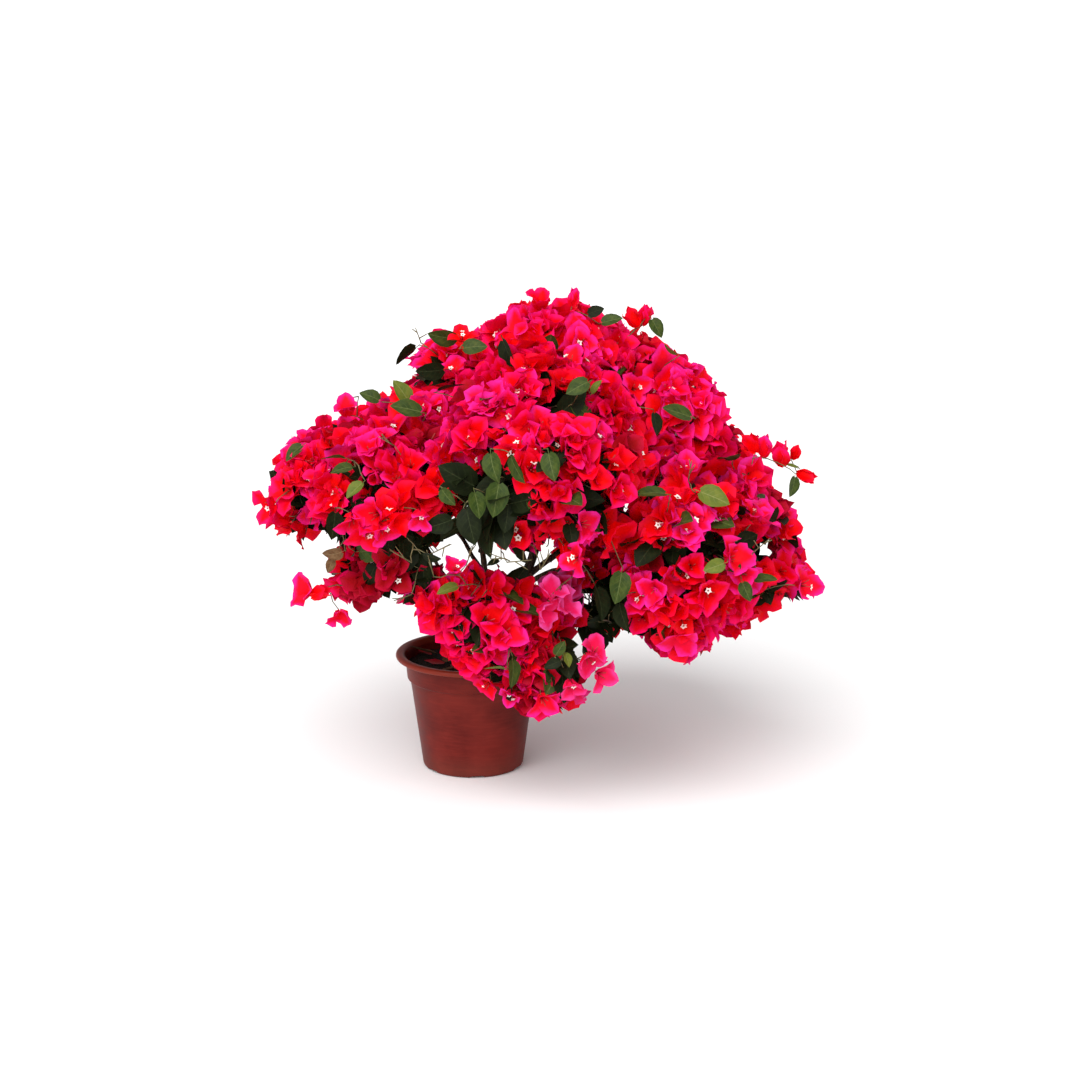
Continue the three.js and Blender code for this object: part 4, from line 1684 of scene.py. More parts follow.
BLOSSOM, BUD, MATURE, SHADED, YOUNG, DRY, BARE = Sort
LEAF_SORTS = (MATURE, SHADED, YOUNG, DRY)
SINGLES = tuple(Single(*row) for row in (
    (540, 300, BLOSSOM, 95, 0.85), (573, 299, BUD, 80, 0.7), (634, 320, BUD, 120, 0.8),
    (645, 318, BUD, 70, 0.75), (461, 334, BLOSSOM, 100, 0.7), (442, 338, MATURE, 178, 0.92),
    (475, 346, MATURE, 10, 0.75), (405, 355, SHADED, 215, 0.84), (508, 354, SHADED, -70, 0.92),
    (402, 390, YOUNG, 120, 0.79), (406, 408, MATURE, 165, 0.97), (452, 386, SHADED, 20, 0.88),
    (430, 372, SHADED, 190, 0.88), (370, 395, MATURE, 150, 0.66), (293, 452, MATURE, 215, 0.7),
    (332, 457, MATURE, 175, 0.75), (341, 468, MATURE, 185, 0.66), (354, 490, YOUNG, 220, 0.66),
    (334, 526, SHADED, -95, 0.84), (492, 468, MATURE, -85, 0.88), (516, 471, MATURE, -70, 0.88),
    (551, 467, MATURE, -80, 0.84), (496, 500, MATURE, -100, 1.01), (478, 505, MATURE, -75, 0.79),
    (470, 527, SHADED, -80, 1.1), (438, 525, SHADED, 200, 0.88), (447, 498, MATURE, -60, 0.62),
    (577, 387, MATURE, 205, 0.75), (596, 386, YOUNG, 60, 0.48), (596, 311, SHADED, 20, 0.53),
    (612, 320, MATURE, 15, 0.66), (657, 328, MATURE, -60, 0.66), (670, 350, YOUNG, 150, 0.53),
    (677, 412, MATURE, 160, 0.92), (656, 424, SHADED, -80, 0.7), (650, 491, MATURE, 170, 0.97),
    (715, 497, YOUNG, -20, 0.97), (619, 588, MATURE, -100, 0.97), (602, 604, SHADED, -70, 1.01),
    (622, 618, SHADED, -80, 0.88), (714, 567, YOUNG, 200, 0.66), (746, 592, MATURE, -70, 0.62),
    (766, 578, MATURE, 10, 0.7), (752, 446, BUD, 120, 0.75), (764, 449, BUD, 85, 0.85),
    (782, 457, BUD, 100, 0.9), (795, 454, BUD, 70, 0.6), (804, 475, BUD, -20, 0.75),
    (794, 487, MATURE, -95, 0.66), (792, 466, YOUNG, 160, 0.4), (514, 674, MATURE, -85, 0.84),
    (494, 668, YOUNG, 175, 0.62), (447, 589, YOUNG, 195, 0.66), (302, 591, BLOSSOM, 160, 0.9, Tone.PINK),
    (318, 594, BUD, 20, 0.75, Tone.SCARLET), (340, 617, BLOSSOM, -85, 0.68, Tone.PINK),
    (486, 687, BLOSSOM, 230, 0.7), (510, 697, BLOSSOM, -110, 0.7, Tone.MAGENTA),
    (545, 703, BLOSSOM, -60, 0.85), (552, 590, BLOSSOM, 70, 0.8, Tone.ORCHID),
    (566, 603, BLOSSOM, 20, 0.85, Tone.ORCHID), (548, 612, BLOSSOM, -30, 0.9, Tone.ORCHID),
    (596, 648, BLOSSOM, 60, 0.75, Tone.ROSE), (604, 676, BLOSSOM, -20, 0.8, Tone.ROSE),
    (572, 688, BLOSSOM, -80, 0.8, Tone.ROSE), (590, 662, BLOSSOM, -60, 0.8, Tone.ROSE),
    (572, 560, BLOSSOM, 200, 0.85, Tone.PINK), (455, 566, BLOSSOM, 90, 0.6, Tone.MAGENTA),
    (682, 644, BLOSSOM, -80, 0.95, Tone.MAGENTA), (808, 584, BLOSSOM, 10, 0.95),
    (346, 407, BLOSSOM, 100, 0.85), (350, 524, BLOSSOM, -100, 0.95, Tone.PINK),
    (366, 537, BLOSSOM, -90, 0.9, Tone.CRIMSON), (386, 532, BLOSSOM, -60, 0.9, Tone.PINK),
    (398, 522, BLOSSOM, -20, 0.85, Tone.SCARLET), (372, 516, BLOSSOM, 200, 0.95),
    (420, 519, BLOSSOM, -90, 0.8, Tone.MAGENTA), (266, 506, BLOSSOM, 190, 0.85),
    (432, 558, SHADED, -20, 0.55), (493, 563, SHADED, 200, 0.4), (560, 648, MATURE, 60, 0.5),
    (568, 660, YOUNG, -70, 0.45), (552, 664, SHADED, 200, 0.55), (333, 556, DRY, 205, 0.6),
    (330, 566, DRY, 250, 0.45), (402, 598, BARE, 200, 1.0), (690, 470, BARE, 80, 1.1),
    (386, 441, BARE, 150, 1.0), (762, 545, BARE, 40, 1.2), (400, 556, BARE, 150, 1.3),
    (418, 335, BARE, 110, 0.9), (350, 398, BARE, 190, 0.9), (430, 563, BARE, 105, 1.4),
    (441, 549, BARE, 25, 1.3), (470, 554, BARE, 70, 1.2), (520, 561, BARE, 5, 1.3),
    (499, 557, BARE, 160, 1.1), (546, 560, BARE, 60, 1.1),
))


def end_to_end(tables: list[Table]) -> Table:
    """One table of all the rows, one row for each blossom or leaf."""
    return {key: np.concatenate([table[key] for table in tables]) for key in tables[0]}


@dataclass
class TwigRule:
    """Where twigs and sprigs go: the solids' rule for twigs, carried on to finer sprigs."""

    crown: Canopy
    skeleton: Skeleton
    rng: Rng
    candidates: int = 139
    numbers_each: int = 7
    stride: int = 52
    inward: float = -0.3
    back: float = 0.25
    root_wander: float = 0.16
    root_span: Span = (0.12, 0.97)
    depths: tuple[float, float, int] = (1.2, 0.34, 26)
    room: float = 42.0
    uneven: float = 24.0
    shortest: float = 0.2
    recess: float = 72.0
    recess_pitch: float = 115.0
    pitch_spread: Span = (0.75, 0.6)
    wave_span: Span = (-0.1, 1.7)
    crest: Span = (530.0, 620.0)
    fullness: float = 0.65
    nodes: int = 7
    leaving: Triple = (0.5, 0.7, 0.12)
    kink: float = 0.022
    sprig_places: tuple[float, ...] = (1.0, 0.82, 0.6)
    sprig_spreads: tuple[float, ...] = (0.25, 0.95, 0.95)
    sprig_length: float = 40.0
    length_spread: Span = (0.7, 0.6)
    tip_share: float = 0.6
    trials: tuple[float, ...] = (1.0, 0.72, 0.45, 0.2)
    skin_room: float = 32.0
    edge_room: float = 31.0
    sprig_up: float = 0.2
    tip_up: float = 0.25
    stray: float = 0.25
    waver: float = 0.05

    def hollow(self, points: Array) -> Array:
        """How sunken the crown is at points, 0 to 1: crossed waves in six set directions.

        They lose the share named fullness over the two heights of the crest.

        Args:
            points: (..., 3) places.

        Returns:
            (...) numbers.
        """
        rng = np.random.default_rng(SEED + 9)
        heading = unit(rng.normal(size=(6, 3)))
        pitch = self.recess_pitch * drawn(rng, self.pitch_spread, 6)
        waves = np.sin(points @ heading.T * (TURN / pitch) + LOOSE_TURN * rng.random(6))
        full = 1 - self.fullness * ease(*self.crest, points[..., 2])
        return ease(*self.wave_span, waves.sum(-1)) * full

    def shoots(self, index: int) -> tuple[Array, Array]:
        """The mass's directions, spread evenly round it, and how far each root is moved.

        Args:
            index: The mass.

        Returns:
            (N, 3) directions and (N,) shifts along the stem.
        """
        count, each = self.candidates, self.numbers_each
        numbers = source_numbers(SEED + 101 * index, count * each).reshape(count, each)
        place = (np.arange(count) * self.stride) % count
        height = 1 - (2 * place + 1) / count
        turn = place * GOLDEN_ANGLE + 0.5 * numbers[:, 0]
        across = np.sqrt(1 - height**2)
        direction = np.stack([np.cos(turn) * across, np.sin(turn) * across, height], axis=-1)
        shift = self.root_wander * (numbers[:, -1] - 0.5)
        kept = direction @ self.crown.outward[index] >= self.inward
        return direction[kept], shift[kept]

    def twigs(self, index: int) -> Array:
        """The mass's twigs: from its stem out to the crown's skin, or to its cell's wall.

        Args:
            index: The mass.

        Returns:
            (N, nodes, 3) paths.
        """
        direction, shift = self.shoots(index)
        middle, reach = self.crown.middles[index], self.crown.reaches[index]
        squashed = direction * [1.0, 1.0, self.crown.squash]
        depths = np.linspace(*self.depths)
        points = middle + squashed[:, None] * (depths * reach)[:, None]
        fits = self.crown.bears(points, index) & (EDGE.depth(points) >= 0)
        grown = fits.any(1)
        depth = depths[fits.argmax(1)][grown]
        skin = middle + squashed[grown] * (depth * reach)[:, None]
        pull = self.room + self.recess * self.hollow(skin) + self.uneven * self.rng.random(len(skin))
        tip = middle + squashed[grown] * np.maximum(reach * depth - pull, self.shortest * reach)[:, None]
        stem = self.skeleton.stems[index].curve
        start, end = stem.point(0.0), stem.point(1.0)
        span, shift = end - start, shift[grown]
        share = (tip - start) @ span / (span @ span) - self.back + shift
        share = np.clip(share, self.root_span[0] + np.abs(shift), self.root_span[1] - np.abs(shift))
        root, along = stem.point(share), stem.tangent(share)
        length = np.linalg.norm(tip - root, axis=-1, keepdims=True)
        onward, straight, up = self.leaving
        heading = unit(along * onward + unit(tip - root) * straight + up * UP)
        path = arc(root, root + heading * length * 0.5, tip, self.nodes)
        kink = self.rng.normal(size=path.shape) * self.kink * length[:, None]
        kink[:, [0, -1]] = 0
        return path + kink

    def sprigs_on(self, paths: Array) -> tuple[Array, Array]:
        """Sprigs along the twigs, the first of each at its twig's tip.

        A sprig that would leave the crown is shortened to the first of the trials that
        keeps inside it.

        Args:
            paths: (N, nodes, 3) twigs.

        Returns:
            (N, sprigs, 4, 3) paths and (N, sprigs) shares of full length.
        """
        count, sprigs = len(paths), len(self.sprig_places)
        place = np.array(self.sprig_places) * (self.nodes - 1)
        low = np.minimum(place.astype(int), self.nodes - 2)
        base = blend(paths[:, low], paths[:, low + 1], (place - low)[None, :, None])
        along = unit(paths[:, low + 1] - paths[:, low])
        turn = GOLDEN_ANGLE * np.arange(sprigs) + TURN * self.rng.random((count, 1))
        helper = unit(np.cross(along, unit(self.rng.normal(size=along.shape))))
        radial = np.cos(turn)[..., None] * helper + np.sin(turn)[..., None] * np.cross(along, helper)
        spread = np.array(self.sprig_spreads)[:, None]
        stray = self.stray * self.rng.normal(size=along.shape)
        heading = unit(along + radial * spread + self.sprig_up * UP + stray)
        length = self.sprig_length * drawn(self.rng, self.length_spread, (count, sprigs))
        length[:, 0] *= self.tip_share
        trial = np.array(self.trials)
        tips = base[:, :, None] + heading[:, :, None] * (length[..., None] * trial)[..., None]
        fits = (self.crown.beyond(tips) <= -self.skin_room) & (EDGE.depth(tips) >= self.edge_room)
        first = np.where(fits.any(-1), fits.argmax(-1), len(trial) - 1)
        share = trial[first] * fits.any(-1)
        reach = (length * trial[first])[..., None]
        lean = unit(heading + self.tip_up * UP + self.stray * self.rng.normal(size=along.shape))
        mid = base + along * reach * 0.2 + heading * reach * 0.4
        tip = base + heading * reach * 0.75 + lean * reach * 0.25
        late = blend(mid, tip, 0.55) + self.waver * reach * self.rng.normal(size=along.shape)
        return np.stack([base, mid, late, tip], axis=2), share


@dataclass
class Growth:
    """Twigs, sprigs, blossom and leaves, grown on every stem by the rule."""

    rule: TwigRule
    rng: Rng
    bloom_depths: Span = (-112.0, -66.0)
    leafy_span: Span = (-0.15, 0.35)
    leafy_edge: float = -0.1
    sprig_chances: tuple[float, ...] = (1.0, 0.72, 0.55)
    hollow_loss: float = 0.75
    hollow_span: Span = (0.62, 0.97)
    bare_share: float = 0.5
    shade_depth: float = -55.0
    skin_leaf_chance: float = 0.55
    leafing_chance: float = 0.05
    leaf_nodes: tuple[int, ...] = (2, 3, 4, 5)
    node_depth: float = -75.0
    node_chances: Span = (0.34, 0.05)
    node_shade: float = -62.0
    sprig_gap: float = 16.0
    blossom_size: Span = (0.76, 0.34)
    blossom_lean: Triple = (0.35, 0.75, 0.28)
    seats: tuple[Triple, ...] = ((0.4, 1.0, 0.0), (0.62, 0.72, 10.0))
    bud_share: float = 0.07
    leaf_size: Span = (0.75, 0.45)
    young_share: float = 0.12
    sight_span: Span = (-600.0, 500.0)
    sight_steps: int = 440
    sight_gap: float = 4.0
    edge_near: float = 10.0
    edge_handicap: float = 60.0
    leaf_half: float = 34.0
    blossom_half: float = 16.0
    blossom_shown: float = 22.0
    fork_length: float = 30.0
    sprig_stray: float = 1.2
    twig_paths: list[Array] = field(default_factory=list)
    sprig_paths: list[Array] = field(default_factory=list)
    shown: list[tuple[float, ...]] = field(default_factory=list)
    blossoms: list[Table] = field(default_factory=list)
    leaves: list[Table] = field(default_factory=list)

    def put_blossoms(self, sprigs: Array, index: int, tones: Array) -> None:
        """A blossom at each sprig's tip, and for most a second one on its own stalk.

        Each seat says how far the blossom's axis strays, its chance and how far out it is.

        Args:
            sprigs: (N, 4, 3) paths.
            index: The mass.
            tones: (N,) numbers of tones.
        """
        tips = sprigs[:, -1]
        heading = unit(tips - sprigs[:, -2])
        outward = unit((tips - self.rule.crown.middles[index]) * [1, 1, 0.9])
        ahead, out, up = self.blossom_lean
        for stray, chance, offset in self.seats:
            jitter = self.rng.normal(size=tips.shape)
            axis = unit(heading * ahead + outward * out + up * UP + jitter * stray)
            spot = tips + (axis - heading) * offset
            kept = (self.rng.random(len(tips)) < chance) & clear(spot, self.sprig_gap)
            axis, spot = axis[kept], spot[kept]
            if offset:
                root = sprigs[kept, -2]
                knee = blend(root, spot, 0.55) + 0.1 * (heading[kept] - axis) * offset
                self.sprig_paths.append(np.stack([root, knee, spot - 1.5 * axis, spot + 1.5 * axis], axis=1))
            row = {
                "spot": spot,
                "axis": axis,
                "roll": TURN * self.rng.random(len(spot)),
                "size": drawn(self.rng, self.blossom_size, len(spot)),
                "tone": tones[kept],
                "mass": np.full(len(spot), index),
                "closed": self.rng.random(len(spot)) < self.bud_share,
                "alone": np.zeros(len(spot), bool),
            }
            self.blossoms.append(row)

    def put_leaves(self, spots: Array, along: Array, index: int, kinds: Array, size: float) -> None:
        """Leaves at nodes, pointing aside and hanging, each face turned out and up.

        Args:
            spots: (N, 3) nodes.
            along: (N, 3) directions of the twig there.
            index: The mass.
            kinds: (N,) numbers of leaf kinds.
            size: Their scale.
        """
        count = len(spots)
        outward = unit(spots - self.rule.crown.middles[index])
        aside = unit(np.cross(along, unit(self.rng.normal(size=(count, 3)))))
        pointing = unit(aside * 0.9 + outward * 0.45 - 0.4 * UP + 0.3 * along)
        facing = outward + 0.7 * UP + 0.4 * self.rng.normal(size=(count, 3))
        facing = unit(facing - (facing * pointing).sum(-1, keepdims=True) * pointing)
        row = {
            "spot": spots,
            "pointing": pointing,
            "facing": facing,
            "size": size * drawn(self.rng, self.leaf_size, count),
            "kind": kinds,
            "mass": np.full(count, index),
            "alone": np.zeros(count, bool),
        }
        self.leaves.append(row)

    def grow_mass(self, index: int) -> None:
        """Grows one mass: its twigs, their sprigs, then blossom and leaves on them.

        Args:
            index: The mass.
        """
        twigs = self.rule.twigs(index)
        sprigs, share = self.rule.sprigs_on(twigs)
        self.twig_paths.append(twigs)
        tips = sprigs[:, :, -1]
        heading = unit(tips - sprigs[:, :, -2])
        outside = self.rule.crown.beyond(tips)
        green = np.max([place.holds(tips) for place in LEAFY], axis=0)
        shade, leafy = outside < self.shade_depth, green > self.leafy_edge
        chance = ease(*self.bloom_depths, outside) * (1 - ease(*self.leafy_span, green))
        chance = chance * np.array(self.sprig_chances)
        chance = chance * (1 - self.hollow_loss * ease(*self.hollow_span, self.rule.hollow(tips)))
        flowering = (self.rng.random(share.shape) < chance) & (share > 0)
        tones = np.repeat(self.tones(twigs[:, -1])[:, None], share.shape[1], axis=1)
        kept = (flowering | (self.rng.random(share.shape) < self.bare_share)) & clear(tips, self.sprig_gap)
        flowering &= kept
        self.sprig_paths.append(sprigs[kept])
        self.put_blossoms(sprigs[flowering], index, tones[flowering])
        bare = kept & ~flowering & (shade | leafy | (self.rng.random(share.shape) < self.skin_leaf_chance))
        leafing = flowering & (self.rng.random(share.shape) < self.leafing_chance)
        for where, size, along in ((bare, 1.0, 1.0), (bare & leafy, 1.1, 0.5), (leafing, 0.85, 0.4)):
            spots = blend(sprigs[where][:, 1], tips[where], along)
            kinds = self.kinds(shade[where] | leafy[where])
            self.put_leaves(spots, heading[where], index, kinds, size)
        for node in self.leaf_nodes:
            spots, along = twigs[:, node], unit(twigs[:, node + 1] - twigs[:, node])
            outside = self.rule.crown.beyond(spots)
            where = self.rng.random(len(spots)) < np.where(outside < self.node_depth, *self.node_chances)
            kinds = self.kinds(outside[where] < self.node_shade)
            self.put_leaves(spots[where], along[where], index, kinds, 1.0)

    def sighted(self) -> tuple[Array, Array]:
        """Where the singles stand, and the line of sight to each.

        Each stands where its pixel's line of sight first meets the crown's skin, or where
        it passes the crown most closely.

        Returns:
            (N, 3) places and (N, 3) directions of sight.
        """
        seen = on_picture(np.array([[single.x, single.y] for single in SINGLES], float))
        sight = unit(AIM + (seen[:, :1] - AIM[0]) * ACROSS + seen[:, 1:] * ABOVE - EYE)
        near, far = VIEW_DISTANCE + np.array(self.sight_span)
        line = EYE + sight[:, None] * np.linspace(near, far, self.sight_steps)[:, None]
        beyond = self.rule.crown.beyond(line)
        meets = beyond <= self.sight_gap
        step = np.where(meets.any(1), meets.argmax(1), beyond.argmin(1))
        return line[np.arange(len(line)), step], sight

    def grow_singles(self) -> None:
        """Grows a sprig to each single place, on from the nearest twig."""
        nodes = np.concatenate([p.reshape(-1, 3) for p in (*self.twig_paths, *self.sprig_paths)])
        handicap = self.edge_handicap * (EDGE.depth(nodes) < self.edge_near)
        for single, spot, ahead in zip(SINGLES, *self.sighted()):
            turn = math.radians(single.turn)
            pointing = unit(math.cos(turn) * ACROSS + math.sin(turn) * ABOVE - 0.25 * ahead)
            half = self.leaf_half if single.is_leaf() else self.blossom_half
            base = spot - pointing * half * single.size
            root = nodes[(np.linalg.norm(nodes - base, axis=1) + handicap).argmin()]
            middle = (root + base) / 2 + 0.12 * np.linalg.norm(base - root) * (UP - 0.4 * ahead)
            path = arc(root, middle, base, 4)
            path[1:3] += self.rng.normal(size=(2, 3)) * self.sprig_stray
            self.sprig_paths.append(path[None])
            nodes = np.concatenate([nodes, path[1:3]])
            handicap = np.concatenate([handicap, np.zeros(2)])
            if single.sort is Sort.BARE:
                self.sprig_paths.append(self.fork(base, pointing, self.fork_length * single.size))
            else:
                self.put_single(single, spot, base, pointing, ahead)

    def put_single(self, single: Single, spot: Array, base: Array, pointing: Array, ahead: Array) -> None:
        """Puts a single's leaf, bud or blossom on its sprig, turned to the front view.

        Args:
            single: What it is.
            spot: Its middle.
            base: The sprig's tip.
            pointing: The way it points.
            ahead: The direction of sight.
        """
        crown = self.rule.crown
        shared = {
            "spot": base[None],
            "size": np.array([single.size]),
            "mass": np.array([np.linalg.norm(crown.offsets(spot), axis=-1).argmin()]),
            "alone": np.ones(1, bool),
        }
        if single.is_leaf():
            facing = unit(-ahead * 0.8 + 0.45 * UP + 0.6 * self.rng.normal(size=3))
            facing = unit(facing - facing @ pointing * pointing)
            kind = np.array([LEAF_SORTS.index(single.sort)])
            self.leaves.append(shared | {"pointing": pointing[None], "facing": facing[None], "kind": kind})
            self.shown.append((*spot, self.leaf_half * single.size))
            return
        axis = unit(pointing - (0.5 if single.sort is Sort.BLOSSOM else 0.1) * ahead)
        common = (Tone.SCARLET, Tone.CRIMSON, Tone.PINK)[self.rng.integers(0, 3)]
        tone = np.array([list(Tone).index(single.tone or common)])
        closed = np.array([single.sort is Sort.BUD])
        own = {"axis": axis[None], "roll": LOOSE_TURN * self.rng.random(1), "tone": tone, "closed": closed}
        self.blossoms.append(shared | own)
        self.shown.append((*spot, self.blossom_shown * single.size))

    def fork(self, base: Array, pointing: Array, length: float) -> Array:
        """A bare end with two side prongs, which leave the middle one where it passes.

        Args:
            base: Where it begins.
            pointing: The way it goes.
            length: How far.

        Returns:
            (3, 4, 3) paths.
        """
        t = np.linspace(0, 1, 4)[:, None]
        middle = base + pointing * length * t
        ways = unit(pointing + 0.5 * self.rng.normal(size=(2, 3)))
        sides = middle[1:3, None] + ways[:, None] * length * np.array([0.6, 0.4])[:, None, None] * t
        return np.concatenate([middle[None], sides])

    def kinds(self, shade: Array) -> Array:
        """Numbers of leaf kinds: mature 0, or shaded 1 in the depth, and a few young 2."""
        young = self.rng.random(len(shade)) < self.young_share
        return np.where(shade, 1, np.where(young, 2, 0))

    def tones(self, tips: Array) -> Array:
        """The number of each twig's tone: drawn by share, or that of the place it is in.

        Args:
            tips: (N, 3) twig tips.

        Returns:
            (N,) numbers.
        """
        shares = np.array([TONE_SHARES.get(tone, 0.0) for tone in Tone])
        numbers = self.rng.choice(len(shares), size=len(tips), p=shares / shares.sum())
        for place, tone, chance in TONE_PLACES:
            here = (place.holds(tips) > 0) & (self.rng.random(len(tips)) < chance)
            numbers[here] = list(Tone).index(tone)
        return numbers

    def grow(self) -> None:
        """Grows every mass, then the singles."""
        for index in range(len(self.rule.crown.masses)):
            self.grow_mass(index)
        self.grow_singles()


@dataclass
class Dressing:
    """Makes the crown's pieces from what has grown, where it leaves the photo's gaps open."""

    growth: Growth
    rng: Rng
    blossom: Blossom = Blossom()
    bud: Blossom = Blossom(width=34.0)
    open_templates: int = 14
    bud_templates: int = 3
    leans: Span = (0.12, 0.75)
    cup_spread: Span = (0.5, 0.7)
    bud_lean: float = 0.42
    bud_spread: Span = (-0.3, 0.2)
    blossom_middle: float = 20.0
    blossom_gap: float = 22.0
    box_room: float = 8.0
    tube_finish: PetalFinish = PetalFinish((0.30, 0.02, 0.03), (0.52, 0.06, 0.06))
    limb_finish: PetalFinish = PetalFinish((0.12, 0.08, 0.02), (0.95, 0.94, 0.88))
    tube_depth: float = -82.0
    tube_chance: float = 0.75
    limb_chances: Triple = (0.4, 0.16, 0.08)
    limb_tilt: float = 0.35
    leaf: Leaf = Leaf()
    coarse_leaf: Leaf = Leaf(columns=3, rows=(0.012, 0.14, 0.38, 0.64, 0.86))
    leaf_templates: int = 8
    leaf_middle: float = 30.0
    leaf_gap: float = 14.0
    leaf_end: float = 50.0
    leaf_edge_room: float = 17.0
    sag: Span = (0.2, 0.6)
    dry_sag: Span = (1.0, 0.6)
    twig_finish: TwigFinish = TwigFinish((0.06, 0.034, 0.018), (0.16, 0.1, 0.06))
    twig_radii: Span = (1.8, 1.0)
    sprig_finish: TwigFinish = TwigFinish((0.1, 0.085, 0.025), (0.22, 0.16, 0.08))
    sprig_radii: Span = (1.2, 0.8)
    standing_before: float = 20.0

    def hides(self, points: Array) -> Array:
        """Whether points stand before one of the single places in the front view.

        Args:
            points: (N, 3) places.

        Returns:
            (N,) truths.
        """
        shown = np.array(self.growth.shown)
        away = np.linalg.norm(seen_at(points)[:, None] - seen_at(shown[:, :3]), axis=-1)
        before = points[:, None, 1] < shown[:, 1] + self.standing_before
        return ((away < shown[:, 3]) & before).any(1)

    def nodes_of(self, masses: Array) -> list[str]:
        """The solids whose masses are among those numbered."""
        return [f"foliage_{self.growth.rule.crown.masses[i].name}" for i in np.unique(masses)]

    def make_kind(
        self, name: str, finish: PaperFinish | LeafFinish, rows: Table, own: Array, shapes: list[Surface]
    ) -> None:
        """Makes one piece of all the blossoms of a tone, or all the leaves of a kind.

        Args:
            name: The piece's name.
            finish: Its finish.
            rows: All the blossoms or leaves.
            own: (N,) which of them are the piece's.
            shapes: The shapes that they take by number.
        """
        parts = []
        for index, shape in enumerate(shapes):
            here = own & (rows["shape"] == index)
            if here.any():
                parts.append(shape.copies(rows["turn"][here], rows["size"][here], rows["spot"][here]))
        nodes = self.nodes_of(rows["mass"][own])
        make_piece(name, Surface.joined(parts), finish.material(name), nodes)

    def dress_blossoms(self) -> None:
        """Makes a piece of bracts for each tone, and the flowers that they hold."""
        blossoms = end_to_end(self.growth.blossoms)
        middle = blossoms["spot"] + blossoms["axis"] * self.blossom_middle
        front, back = CAD_BOX[0][1] / METRE + self.box_room, CAD_BOX[1][1] / METRE - self.box_room
        boxed = (middle[:, 1] < back) & (middle[:, 1] > front)
        kept = blossoms["alone"] | (clear(middle, self.blossom_gap) & ~self.hides(middle) & boxed)
        blossoms = {key: value[kept] for key, value in blossoms.items()}
        count, opened, buds = int(kept.sum()), self.open_templates, self.bud_templates
        blossoms["turn"] = frames_along(blossoms["axis"], blossoms["roll"])
        low, more = self.cup_spread
        cups = [
            self.blossom.cup(self.rng, lean, lean + low + more * self.rng.random())
            for lean in np.linspace(*self.leans, opened)
        ]
        cups += [self.bud.cup(self.rng, self.bud_lean, drawn(self.rng, self.bud_spread)) for _ in range(buds)]
        shape = self.rng.integers(0, opened, count)
        closed = opened + self.rng.integers(0, buds, count)
        blossoms["shape"] = np.where(blossoms["closed"], closed, shape)
        for number, tone in enumerate(Tone):
            own = blossoms["tone"] == number
            self.make_kind(f"bracts_{tone.name.lower()}", tone.value, blossoms, own, cups)
        self.dress_flowers(blossoms)

    def dress_flowers(self, blossoms: Table) -> None:
        """Makes the slender tubes in most blossoms and the open limbs in a few.

        Args:
            blossoms: The blossoms' rows.
        """
        turns, spots, sizes = blossoms["turn"], blossoms["spot"], blossoms["size"]
        near = self.growth.rule.crown.beyond(spots) > self.tube_depth
        tubed = (self.rng.random(len(spots)) < self.tube_chance) & ~blossoms["closed"] & near
        tubes = self.blossom.tubes().copies(turns[tubed], sizes[tubed], spots[tubed])
        make_piece("flower_tubes", tubes, self.tube_finish.material("flower tubes"), [])
        limbs = []
        for number, chance in enumerate(self.limb_chances):
            here = tubed & (self.rng.random(len(spots)) < chance)
            turn = TURN * number / len(self.limb_chances)
            lean = np.array([math.cos(turn), math.sin(turn), 0.0])
            local = lean * self.blossom.tube_spread + UP * self.blossom.tube_length
            ends = spots[here] + np.einsum("nij,j->ni", turns[here], local) * sizes[here, None]
            facing = unit(np.einsum("nij,j->ni", turns[here], unit(lean * self.limb_tilt + UP)))
            frames = frames_along(facing, LOOSE_TURN * self.rng.random(len(ends)))
            limbs.append(self.blossom.limb().copies(frames, sizes[here], ends))
        finish = self.limb_finish.material("flower limbs")
        make_piece("flower_limbs", Surface.joined(limbs), finish, [])

    def dress_leaves(self) -> None:
        """Makes a piece of leaves for each kind."""
        leaves = end_to_end(self.growth.leaves)
        middle = leaves["spot"] + leaves["pointing"] * self.leaf_middle
        kept = clear(middle, self.leaf_gap) & ~self.hides(middle)
        kept &= EDGE.depth(leaves["spot"] + leaves["pointing"] * self.leaf_end) > self.leaf_edge_room
        kept |= leaves["alone"]
        leaves = {key: value[kept] for key, value in leaves.items()}
        across = np.cross(leaves["facing"], leaves["pointing"])
        leaves["turn"] = np.stack([leaves["pointing"], across, leaves["facing"]], axis=-1)
        count = self.leaf_templates
        leaves["shape"] = self.rng.integers(0, count, len(across))
        for number, kind in enumerate(LeafKind):
            leaf = self.coarse_leaf if kind is LeafKind.SHADED else self.leaf
            sag = self.dry_sag if kind is LeafKind.DRY else self.sag
            blades = [leaf.surface(self.rng, drawn(self.rng, sag), stalked=True) for _ in range(count)]
            own = leaves["kind"] == number
            self.make_kind(f"leaves_{kind.name.lower()}", kind.value, leaves, own, blades)

    def dress_twigs(self) -> None:
        """Makes the woody twigs and the thinner green sprigs."""
        growth = self.growth
        nodes = self.nodes_of(np.arange(len(growth.rule.crown.masses)))
        for name, paths, (root, tip), material in (
            ("twigs", growth.twig_paths, self.twig_radii, self.twig_finish.material("twig skin")),
            ("sprigs", growth.sprig_paths, self.sprig_radii, self.sprig_finish.material("sprig skin")),
        ):
            lines = np.concatenate(paths)
            radii = np.tile(np.linspace(root, tip, lines.shape[1]), (len(lines), 1))
            make_piece(name, swept(lines, radii, 3), material, nodes)

    def dress(self) -> None:
        """Makes every piece of the crown."""
        self.dress_twigs()
        self.dress_leaves()
        self.dress_blossoms()


# The studio


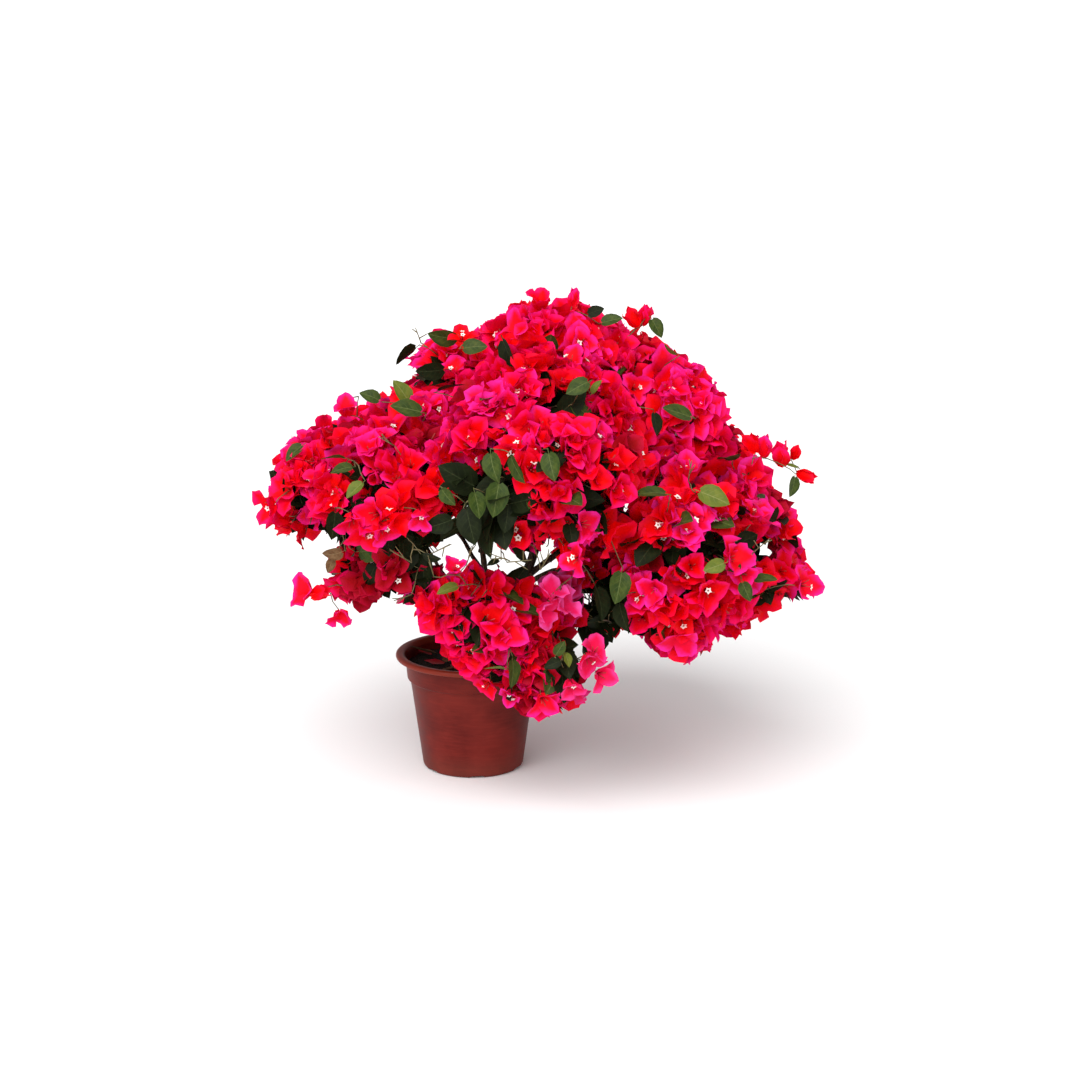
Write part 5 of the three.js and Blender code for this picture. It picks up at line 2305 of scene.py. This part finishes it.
@dataclass
class Studio:
    """A plain pale floor, soft light and the photograph's camera."""

    floor_half: float = 34.0
    floor_colour: Colour = (0.9, 0.9, 0.9)
    floor_roughness: float = 0.9
    sky: float = 0.64
    sun: float = 3.6
    sun_angle: float = 60.0
    sun_from: Triple = (-0.38, -1.2, 1.2)
    sensor: float = 36.0

    def floor(self) -> None:
        """The floor, a flat sheet that isn't part of the bush."""
        half = self.floor_half
        mesh = bpy.data.meshes.new("studio_floor")
        corners = [(-half, -half, 0), (half, -half, 0), (half, half, 0), (-half, half, 0)]
        mesh.from_pydata(corners, [], [(0, 1, 2, 3)])
        mesh.materials.append(Tree("studio floor").solid(self.floor_colour, self.floor_roughness))
        floor = bpy.data.objects.new("studio_floor", mesh)
        bpy.context.scene.collection.objects.link(floor)

    def key(self) -> None:
        """One wide soft light from above, in front and a little to the left."""
        data = bpy.data.lights.new("key", "SUN")
        data.energy, data.angle = self.sun, math.radians(self.sun_angle)
        lamp = bpy.data.objects.new("key", data)
        lamp.rotation_mode = "QUATERNION"
        lamp.rotation_quaternion = Vector(self.sun_from).to_track_quat("Z", "Y")
        bpy.context.scene.collection.objects.link(lamp)

    def world(self) -> None:
        """An even white surround."""
        world = bpy.data.worlds.new("studio")
        world.use_nodes = True
        surround = world.node_tree.nodes["Background"].inputs
        surround["Color"].default_value = (1, 1, 1, 1)
        surround["Strength"].default_value = self.sky
        bpy.context.scene.world = world
        bpy.context.scene.view_settings.view_transform = "Standard"

    def camera(self) -> None:
        """The camera at the photograph's place, its lens fitted to the picture's width."""
        data = bpy.data.cameras.new("front")
        data.sensor_width = self.sensor
        data.lens = self.sensor * VIEW_DISTANCE / (MM_PER_PIXEL * PICTURE_SIDE)
        camera = bpy.data.objects.new("front", data)
        camera.location = EYE * METRE
        camera.rotation_mode = "QUATERNION"
        camera.rotation_quaternion = Vector(AIM - EYE).to_track_quat("-Z", "Y")
        bpy.context.scene.collection.objects.link(camera)
        bpy.context.scene.camera = camera

    def build(self) -> None:
        """Sets up the whole studio."""
        self.camera()
        self.world()
        self.floor()
        self.key()


def main() -> None:
    """Builds the studio, the pot, the stems and the crown, in that order."""
    logging.basicConfig(level=logging.INFO, format="%(name)s: %(message)s")
    Studio().build()
    Pot().dress()
    Compost(np.random.default_rng(SEED)).dress()
    crown = Canopy()
    skeleton = Skeleton(crown)
    skeleton.grow()
    Bark(np.random.default_rng(SEED + 1)).dress(skeleton)
    rng = np.random.default_rng(SEED + 2)
    growth = Growth(TwigRule(crown, skeleton, rng), rng)
    growth.grow()
    Dressing(growth, rng).dress()


if __name__ == "__main__":
    main()
